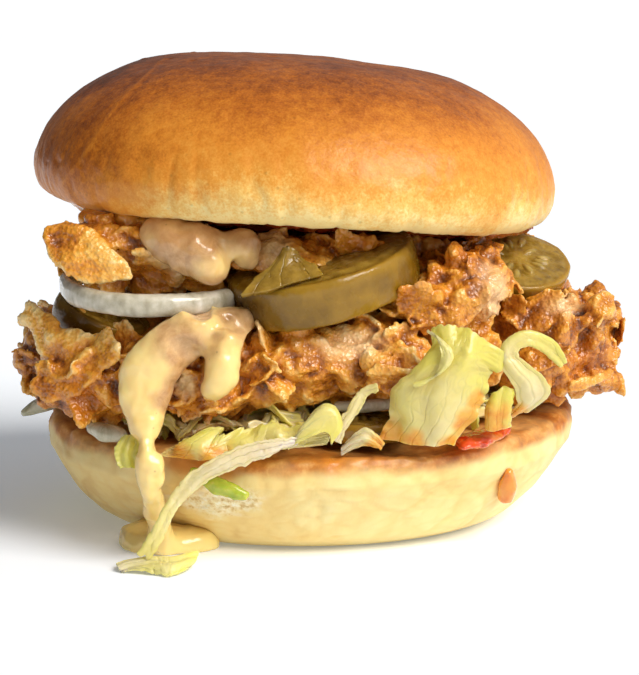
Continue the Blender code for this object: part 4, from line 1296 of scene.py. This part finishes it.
def chilliFinish():
    f = Finish(
        "chilliSauce", Roughness=0.16, Coat_Weight=0.5, Coat_Roughness=0.05, Subsurface_Weight=0.10,
        Subsurface_Scale=0.002
    )
    f.shader.inputs["Subsurface Radius"].default_value = (1.0, 0.25, 0.05)
    red = f.ramp(
        f.noise(4.5, 5, 0.65), (0.30, (0.22, 0.022, 0.003)), (0.5, (0.48, 0.070, 0.008)),
        (0.66, (0.66, 0.15, 0.018)),
        (0.85, (0.74, 0.27, 0.04))
    )
    bright = f.ramp(
        f.noise(2.4, 3), (0.3, (0.62, 0.030, 0.004)), (0.55, (0.74, 0.090, 0.010)),
        (0.75, (0.84, 0.30, 0.05))
    )
    height = f.add("ShaderNodeSeparateXYZ", {"Vector": f.place}).outputs["Z"]
    # the glaze on the chilli layer's left end: its own orange, drawn brighter as painted light where the top
    # bun shades it
    glaze = f.ramp(
        f.noise(3.0, 4, 0.6), (0.3, (0.70, 0.20, 0.016)), (0.55, (0.86, 0.36, 0.04)),
        (0.8, (0.93, 0.54, 0.12))
    )
    red = f.mix(f.value("orange"), red, glaze)
    soft = f.ramp(f.noise(2.5, 3), (0.3, (0.74, 0.21, 0.020)), (0.7, (0.88, 0.38, 0.06)))
    red = f.mix(f.levels(height, 0.030, 0.040, 0.0, 1.0), bright, red)
    f.set("Base Color", f.mix(f.value("drop"), red, soft))
    f.relief(f.bump(f.noise(1.5, 3, 0.55), 0.25, 0.5))
    return f.material


cream, chilli = creamFinish(), chilliFinish()
for node, s in sauceLook.items():
    finishPiece(makeSauce(node), cream if s["slot"] == "cream_sauce" else chilli, [node])


# Lettuce

leafLook = {  # rows run from the base to the tip; fine is how many points along and across
    "lettuce_front": {
        "rows": [
            [(13.3, -49, 23.6), (17.3, -51, 23.0), (21.8, -52, 22.6), (25.6, -50.5, 22.8)],
            [(14.6, -50, 27.6), (19.0, -53, 27.4), (23.6, -53, 26.8), (29.3, -50.5, 27.2)],
            [(14.8, -51, 32.4), (19.5, -54, 32.4), (25.3, -54, 32.0), (31.6, -50.5, 32.0)],
            [(18.0, -52, 36.0), (21.6, -54, 37.0), (26.7, -55, 37.0), (31.8, -50.5, 36.0)],
            [(21.4, -52, 40.0), (24.6, -54, 40.8), (28.4, -55, 40.0), (33.4, -50.5, 36.8)],
            [(21.8, -51, 43.8), (25.8, -52, 44.9), (29.6, -53, 43.2), (35.6, -50.5, 38.8)],
        ],
        "fine": (150, 130), "ragged": (0.045, 0.030), "ruffle": (1.1, 6, 4), "pleat": (0.32, 2.4, 0.4),
        "veins": 6, "crumple": 0.45,
        "green": (0.30, 0.75), "rib": 0.25, "seed": 501, "thick": 0.42,
        "stain": [
            (14, -50, 23.5, 4.5), (18.5, -52, 22.6, 3.4), (29, -51, 27, 3.6), (30, -51, 31, 2.4),
            (25, -51, 22.4, 2.6)
        ],
    },
    "lettuce_folded": {
        "rows": [
            [
                (-28.0, -51.5, 20.6), (-20.0, -54.0, 20.4), (-12.0, -54.5, 21.4), (-4.0, -53.5, 22.4),
                (3.0, -52.6, 23.0)
            ],
            [
                (-25.5, -52.0, 22.6), (-18.5, -54.0, 22.8), (-11.5, -53.0, 23.6), (-3.5, -53.0, 24.2),
                (3.4, -51.8, 24.6)
            ],
            [
                (-21.0, -50.5, 25.0), (-15.0, -51.5, 25.6), (-9.5, -50.8, 25.6), (-2.5, -51.0, 26.0),
                (3.6, -50.8, 26.6)
            ],
        ],
        "fine": (70, 320), "ragged": (0.22, 0.02), "ruffle": (0.5, 9, 2), "pleat": (0.45, 3.4, 0.9),
        "veins": 9, "crumple": 1.3,
        "green": (0.35, 0.8), "rib": 0.2, "seed": 521, "thick": 0.40,
        "stain": [(-24, -52, 20, 4), (-17, -54, 20, 4)],
    },
    "lettuce_curl": {
        "line": [
            (38.2, -45.5, 27.6, 2.2, 20, 0.3), (41.0, -48.0, 31.4, 3.4, 25, 0.8),
            (38.6, -50.0, 35.6, 2.4, 35, 0.6),
            (36.2, -50.5, 38.8, 2.0, 5, 0.5), (37.0, -50.5, 41.4, 1.5, -50, 0.5),
            (40.2, -50.0, 42.2, 1.5, -85, 0.5),
            (43.8, -48.5, 40.2, 1.4, -125, 0.4), (46.4, -47.0, 36.8, 0.7, -145, 0.2),
        ],
        "fine": (220, 44), "ragged": (0.02, 0.10), "ruffle": (0.25, 9, 5), "pleat": (0.2, 1.5, 0.6),
        "veins": 3,
        "green": (0.05, 0.8), "rib": 0.45, "seed": 541, "thick": 0.38, "stain": [(39, -47, 27, 3)],
    },
    "lettuce_flap": {
        "rows": [
            [(32.4, -48.4, 25.2), (35.0, -48.6, 25.0), (37.0, -47.4, 25.6)],
            [(32.2, -49.4, 28.8), (34.8, -50.0, 28.8), (37.2, -48.8, 29.2)],
            [(32.8, -48.8, 30.6), (35.6, -49.6, 33.4), (38.0, -48.6, 32.2)],
        ],
        "fine": (70, 60), "ragged": (0.12, 0.08), "ruffle": (0.45, 5, 4), "pleat": (0.3, 2.0, 0.3),
        "veins": 4,
        "green": (0.5, 0.85), "rib": 0.0, "seed": 561, "thick": 0.38,
        "stain": [(33, -49, 26, 5), (31, -49, 28, 3.5)],
    },
    "lettuce_tube": {
        "rows": [
            [(-4.4, -57.0, 22.8), (-3.6, -55.8, 24.2), (-2.6, -53.6, 25.0)],
            [(-2.2, -57.6, 24.2), (-1.4, -56.6, 27.0), (-0.6, -53.8, 28.0)],
            [(0.6, -57.8, 25.4), (1.2, -56.6, 29.0), (1.6, -53.8, 30.0)],
            [(2.4, -57.4, 25.4), (3.6, -56.0, 28.4), (3.6, -53.6, 29.2)],
            [(2.8, -56.8, 23.6), (4.4, -55.4, 25.8), (4.6, -53.4, 26.4)],
        ],
        "fine": (110, 60), "ragged": (0.03, 0.05), "ruffle": (0.25, 3, 2), "pleat": (0.12, 2.0, 0.5),
        "veins": 4,
        "green": (0.35, 0.6), "rib": 0.2, "seed": 581, "thick": 0.35, "stain": [],
    },
    "lettuce_edge": {
        "line": [
            (4.4, -52.4, 23.8, 1.3, -25, 0.3), (6.0, -52.6, 26.8, 1.3, -30, 0.3),
            (8.2, -52.0, 30.0, 1.2, -35, 0.3),
            (9.8, -51.6, 32.4, 0.9, -50, 0.2), (12.2, -51.8, 33.4, 0.7, -80, 0.2),
        ],
        "fine": (130, 30), "ragged": (0.03, 0.20), "ruffle": (0.6, 5, 2), "pleat": (0.1, 1.0, 0.5),
        "veins": 2,
        "green": (0.25, 0.45), "rib": 0.5, "seed": 601, "thick": 0.32, "stain": [],
    },
    "lettuce_rib": {
        "line": [
            (5.6, -50.8, 21.6, 0.8, 80, 0.2), (9.6, -51.0, 24.0, 1.6, 80, 0.4),
            (13.0, -51.2, 22.2, 0.8, 60, 0.2)
        ],
        "fine": (80, 36), "ragged": (0.05, 0.12), "ruffle": (0.2, 5, 4), "pleat": (0.2, 2.0, 0.5), "veins": 3,
        "green": (0.2, 0.4), "rib": 0.75, "seed": 621, "thick": 0.40, "stain": [(12, -51, 22, 3)],
    },
    "lettuce_frill": {
        "line": [
            (-33.4, -49.6, 24.2, 1.4, 10, 0.3), (-34.2, -50.4, 21.4, 2.2, 5, 0.4),
            (-33.4, -50.8, 18.2, 1.6, 0, 0.3)
        ],
        "fine": (80, 44), "ragged": (0.10, 0.14), "ruffle": (0.4, 7, 5), "pleat": (0.2, 2.0, 0.5), "veins": 3,
        "green": (0.5, 0.95), "rib": 0.0, "seed": 641, "thick": 0.35, "stain": [],
    },
    "lettuce_strip": {
        "line": [
            (-2.4, -55.6, 24.2, 0.8, 75, 0.3), (-6.6, -57.2, 23.6, 1.5, 88, 0.4),
            (-11.6, -57.6, 22.2, 1.9, 102, 0.4),
            (-16.8, -57.6, 20.2, 1.8, 118, 0.4), (-21.8, -57.2, 17.0, 1.5, 132, 0.4),
            (-25.4, -56.8, 12.6, 1.1, 146, 0.3),
            (-27.8, -56.2, 8.0, 1.3, 152, 0.4), (-30.6, -55.6, 3.4, 1.4, 146, 0.3),
        ],
        "fine": (260, 40), "ragged": (0.05, 0.16), "ruffle": (0.5, 9, 3), "pleat": (0.14, 1.6, 0.3),
        "veins": 3,
        "green": (0.0, 0.55), "rib": 0.85, "seed": 661, "thick": 0.42, "stain": [],
        "drift": ((-2.0, 0.4, -0.5), (-2.5, -2.0, -0.8)),
    },
    "lettuce_floor": {
        "rows": [
            [(-36.0, -54.0, 1.2), (-35.2, -57.0, 0.9), (-34.0, -58.0, 0.9)],
            [(-31.0, -52.0, 1.6), (-30.0, -56.0, 1.8), (-29.0, -59.4, 0.9)],
            [(-26.0, -52.0, 1.5), (-25.6, -56.6, 1.8), (-25.4, -61.0, 0.9)],
            [(-20.8, -50.6, 2.0), (-21.2, -53.0, 1.8), (-22.2, -56.0, 1.0)],
        ],
        "fine": (110, 90), "ragged": (0.03, 0.12), "ruffle": (0.30, 5, 4), "pleat": (0.25, 2.0, 0.4),
        "veins": 5,
        "green": (0.02, 0.40), "rib": 0.30, "seed": 681, "thick": 0.40, "stain": [],
    },
}


def lettuceFinish():
    f = Finish(
        "lettuceLeaf", Roughness=0.34, Coat_Weight=0.15, Coat_Roughness=0.2, Subsurface_Weight=0.6,
        Subsurface_Scale=0.003
    )
    f.shader.inputs["Subsurface Radius"].default_value = (0.9, 1.0, 0.4)
    tone = f.math("ADD", f.value("green"), f.levels(f.noise(4.0, 4, 0.6), 0.3, 0.7, -0.13, 0.13))
    leaf = f.ramp(
        tone, (0.0, (0.89, 0.81, 0.38)), (0.35, (0.86, 0.75, 0.20)), (0.65, (0.79, 0.70, 0.14)),
        (1.0, (0.62, 0.61, 0.09)),
    )
    ribbed = f.ramp(f.noise(2.0, 3), (0.3, (0.72, 0.54, 0.32)), (0.7, (0.86, 0.74, 0.52)))
    leaf = f.mix(f.value("rib"), leaf, ribbed)
    leaf = f.mix(f.math("MULTIPLY", f.value("vein"), 0.34), leaf, (0.44, 0.45, 0.20))
    stained = f.ramp(f.noise(2.4, 4, 0.6), (0.3, (0.80, 0.24, 0.014)), (0.7, (0.92, 0.48, 0.08)))
    f.set("Base Color", f.mix(f.value("stain"), leaf, stained))
    crinkle = f.bump(f.noise(1.3, 3, 0.55), 0.16, 0.5)
    f.relief(f.bump(f.noise(0.4, 2), 0.04, 0.4, crinkle))
    return f.material


leafy = lettuceFinish()
for node, look in leafLook.items():
    finishPiece(leafSheet(node + "_sheet", look, node), leafy, [node])

curledEdge = {  # the front leaf's upper left edge curls over
    "line": [
        (21.2, -52.6, 44.0, 0.5, -60, 0.3), (23.4, -54.2, 42.6, 1.0, -40, 0.5),
        (24.6, -55.2, 40.2, 1.2, -5, 0.6),
        (23.8, -55.6, 37.6, 1.1, 30, 0.5), (21.4, -55.0, 35.6, 0.9, 50, 0.4),
        (18.6, -54.2, 34.4, 0.5, 60, 0.2),
    ],
    "fine": (140, 30), "ragged": (0.05, 0.16), "ruffle": (0.5, 5, 2), "pleat": (0.12, 1.0, 0.4), "veins": 2,
    "green": (0.1, 0.5), "rib": 0.1, "seed": 513, "thick": 0.36, "stain": [],
}
finishPiece(leafSheet("leafEdge", curledEdge), leafy, ["lettuce_front"])


def makeBud():  # the lime green bit that sticks to the heel
    piece = softPiece("lettuce_bit_flesh", "lettuce_bit", 0.2, 6, 0.12)
    coords = coordsOf(piece.data)
    pushed(piece, 0.16 * softNoise(coords, 1.4, 701, 2))
    return piece


def budFinish():
    f = Finish(
        "limeBit", Roughness=0.24, Coat_Weight=0.4, Coat_Roughness=0.1, Subsurface_Weight=0.3,
        Subsurface_Scale=0.002
    )
    f.set(
        "Base Color",
        f.ramp(
            f.noise(2.2, 4, 0.6), (0.3, (0.30, 0.42, 0.020)), (0.6, (0.50, 0.54, 0.05)),
            (0.8, (0.72, 0.70, 0.17))
        )
    )
    f.relief(f.bump(f.noise(0.7, 3), 0.08, 0.5))
    return f.material


finishPiece(makeBud(), budFinish(), ["lettuce_bit"])


# The lettuce bed: a low core that is hidden under curled shreds

bedLook = {"voxel": 0.8, "sink": 1.1, "spacing": 2.6, "sizes": (0.7, 1.3), "lean": (5, 60), "seed": 731}


def shredShape(name, seed, long, wide, curl):
    dice = random.Random(seed)
    phase = [dice.uniform(0, 6.28) for _ in range(3)]
    line = []
    for i in range(7):
        x = long * (i / 6 - 0.5)
        side = curl * math.sin(math.pi * i / 6)
        rise = curl * 0.8 * math.sin(2.2 * i / 6 * math.pi + phase[0])
        line.append((x, side, rise, wide, 90 + 18 * math.sin(i + phase[1]), 0.3))
    look = {
        "line": line, "fine": (34, 8), "ragged": (0.05, 0.12), "ruffle": (0.4, 4, 3),
        "pleat": (0.15, 2, 0.5), "veins": 2,
        "green": (0.2 + 0.5 * dice.random(), 0.5 + 0.4 * dice.random()), "rib": 0.6 * dice.random(),
        "seed": seed, "thick": 0.4, "stain": [],
    }
    shred = leafSheet(name, look)
    shred.data.transform(Matrix.Rotation(math.radians(90), 4, "X"))
    return shred


def makeBed():
    s = bedLook
    core = softened(oneSkin(copyOfNodes("bedCore", "lettuce_bed"), s["voxel"]), 0.6, 3)
    coords = coordsOf(core.data)
    reach = np.linalg.norm(coords[:, :2], axis=1)
    pushed(core, -s["sink"] + 0.7 * softNoise(coords, 2.6, s["seed"], 2))
    out = normalsOf(core.data)
    addAttribute(core.data, "cover", smoothStep(29, 35, reach) * smoothStep(-0.8, -0.4, out[:, 2]))
    for name, value in (("green", 0.35), ("vein", 0.0), ("rib", 0.4), ("stain", 0.0)):
        addAttribute(
            core.data, name, np.full(len(coords), value) + 0.25 * softNoise(coords, 3, s["seed"] + 3)
        )
    shapes = shapesKept("shreds", [
        shredShape("shredA", 741, 8, 1.0, 1.0), shredShape("shredB", 742, 6, 1.3, 0.8),
        shredShape("shredC", 743, 9, 0.8, 1.4), shredShape("shredD", 744, 5, 1.1, 1.2),
    ])
    shreds = scattered("bedShreds", core, shapes, leafy, s["spacing"], s["seed"], s["sizes"], s["lean"])
    return core, shreds


for piece in makeBed():
    finishPiece(piece, leafy, ["lettuce_bed"])


# Crumbs on the heel's rim

crumbLook = {"spacing": 1.5, "sizes": (0.06, 0.22), "seed": 761}


def makeCrumbs():
    heel = bpy.data.objects["heelBun"]
    holder = newObject("crumbHolder", heel.data.copy())
    coords = coordsOf(holder.data)
    top = boxOf("heel")[1][2]
    rim = (
        smoothStep(0.86, 0.93, coords[:, 2] / top)
        * smoothStep(49, 51, np.linalg.norm(coords[:, :2], axis=1))
    )
    patchy = smoothStep(0.0, 0.3, softNoise(coords, 6, 763))
    addAttribute(holder.data, "cover", rim * patchy)
    shapes = shapesKept("crumbShapes", [nubShape("crumbA", 765, 2.2), nubShape("crumbB", 766, 1.6)])
    f = Finish("crumbs", Roughness=0.6)
    f.set("Base Color", f.ramp(f.noise(3, 2), (0.35, (0.55, 0.22, 0.05)), (0.6, (0.93, 0.84, 0.62))))
    crumbs = scattered(
        "rimCrumbs", holder, shapes, f.material, crumbLook["spacing"], crumbLook["seed"],
        crumbLook["sizes"], (0, 90)
    )
    bpy.data.objects.remove(holder)
    return crumbs, f.material


crumbs, crumbFinish = makeCrumbs()
finishPiece(crumbs, crumbFinish, [])


# Camera, light and floor

cameraLook = {"place": (0.0015, -0.430, 0.099), "down": 8.46, "lens": 111.4667}  # metres, degrees, millimetres


def makeCamera():
    data = bpy.data.cameras.new("camera")
    data.lens = cameraLook["lens"]
    data.sensor_width = 36
    data.clip_start = 0.01
    obj = bpy.data.objects.new("camera", data)
    bpy.context.scene.collection.objects.link(obj)
    obj.location = cameraLook["place"]
    obj.rotation_euler = (math.radians(90 - cameraLook["down"]), 0, 0)
    bpy.context.scene.camera = obj


lightLook = {  # keyLight is a wide sun high on the right at the front
    "from": (0.585, -0.50, 0.638), "strength": 3.6, "spread": 38, "colour": (1.0, 0.955, 0.89),
    "around": (0.05, 0.46), "background": 1.05,
}


def makeLights():
    s = lightLook
    data = bpy.data.lights.new("keyLight", "SUN")
    data.energy = s["strength"]
    data.angle = math.radians(s["spread"])
    data.color = s["colour"]
    obj = bpy.data.objects.new("keyLight", data)
    bpy.context.scene.collection.objects.link(obj)
    obj.location = Vector(s["from"])
    obj.rotation_euler = (-Vector(s["from"])).to_track_quat("-Z", "Y").to_euler()
    world = bpy.data.worlds.new("studio")
    bpy.context.scene.world = world
    world.use_nodes = True
    nodes, links = world.node_tree.nodes, world.node_tree.links
    around = nodes["Background"]
    around.inputs["Color"].default_value = (0.94, 0.97, 1.0, 1)
    way = nodes.new("ShaderNodeSeparateXYZ")
    links.new(nodes.new("ShaderNodeTexCoord").outputs["Generated"], way.inputs[0])
    darker = nodes.new("ShaderNodeMapRange")  # the room is dimmer on the left
    darker.inputs["From Min"].default_value = -0.9
    darker.inputs["From Max"].default_value = 0.9
    darker.inputs["To Min"].default_value, darker.inputs["To Max"].default_value = s["around"]
    links.new(way.outputs["X"], darker.inputs["Value"])
    links.new(darker.outputs["Result"], around.inputs["Strength"])
    behind = nodes.new("ShaderNodeBackground")
    behind.inputs["Color"].default_value = (1, 1, 1, 1)
    behind.inputs["Strength"].default_value = s["background"]
    seen = nodes.new("ShaderNodeLightPath")
    both = nodes.new("ShaderNodeMixShader")
    links.new(seen.outputs["Is Camera Ray"], both.inputs[0])
    links.new(around.outputs[0], both.inputs[1])
    links.new(behind.outputs[0], both.inputs[2])
    links.new(both.outputs[0], nodes["World Output"].inputs[0])


def makeFloor():
    size = 30000
    floor = objectFrom(
        "floor", [(-size, -size, 0), (size, -size, 0), (size, size, 0), (-size, size, 0)], [(0, 1, 2, 3)]
    )
    f = Finish(
        "paleFloor", Roughness=1.0, Specular_IOR_Level=0.0, Base_Color=(0.90, 0.94, 1.0, 1),
        Emission_Color=(0.88, 0.94, 1, 1), Emission_Strength=0.15
    )
    floor.data.materials.append(f.material)


makeCamera()
makeLights()
makeFloor()
bpy.context.scene.view_settings.view_transform = "Standard"
print("camera, lights and floor ready")
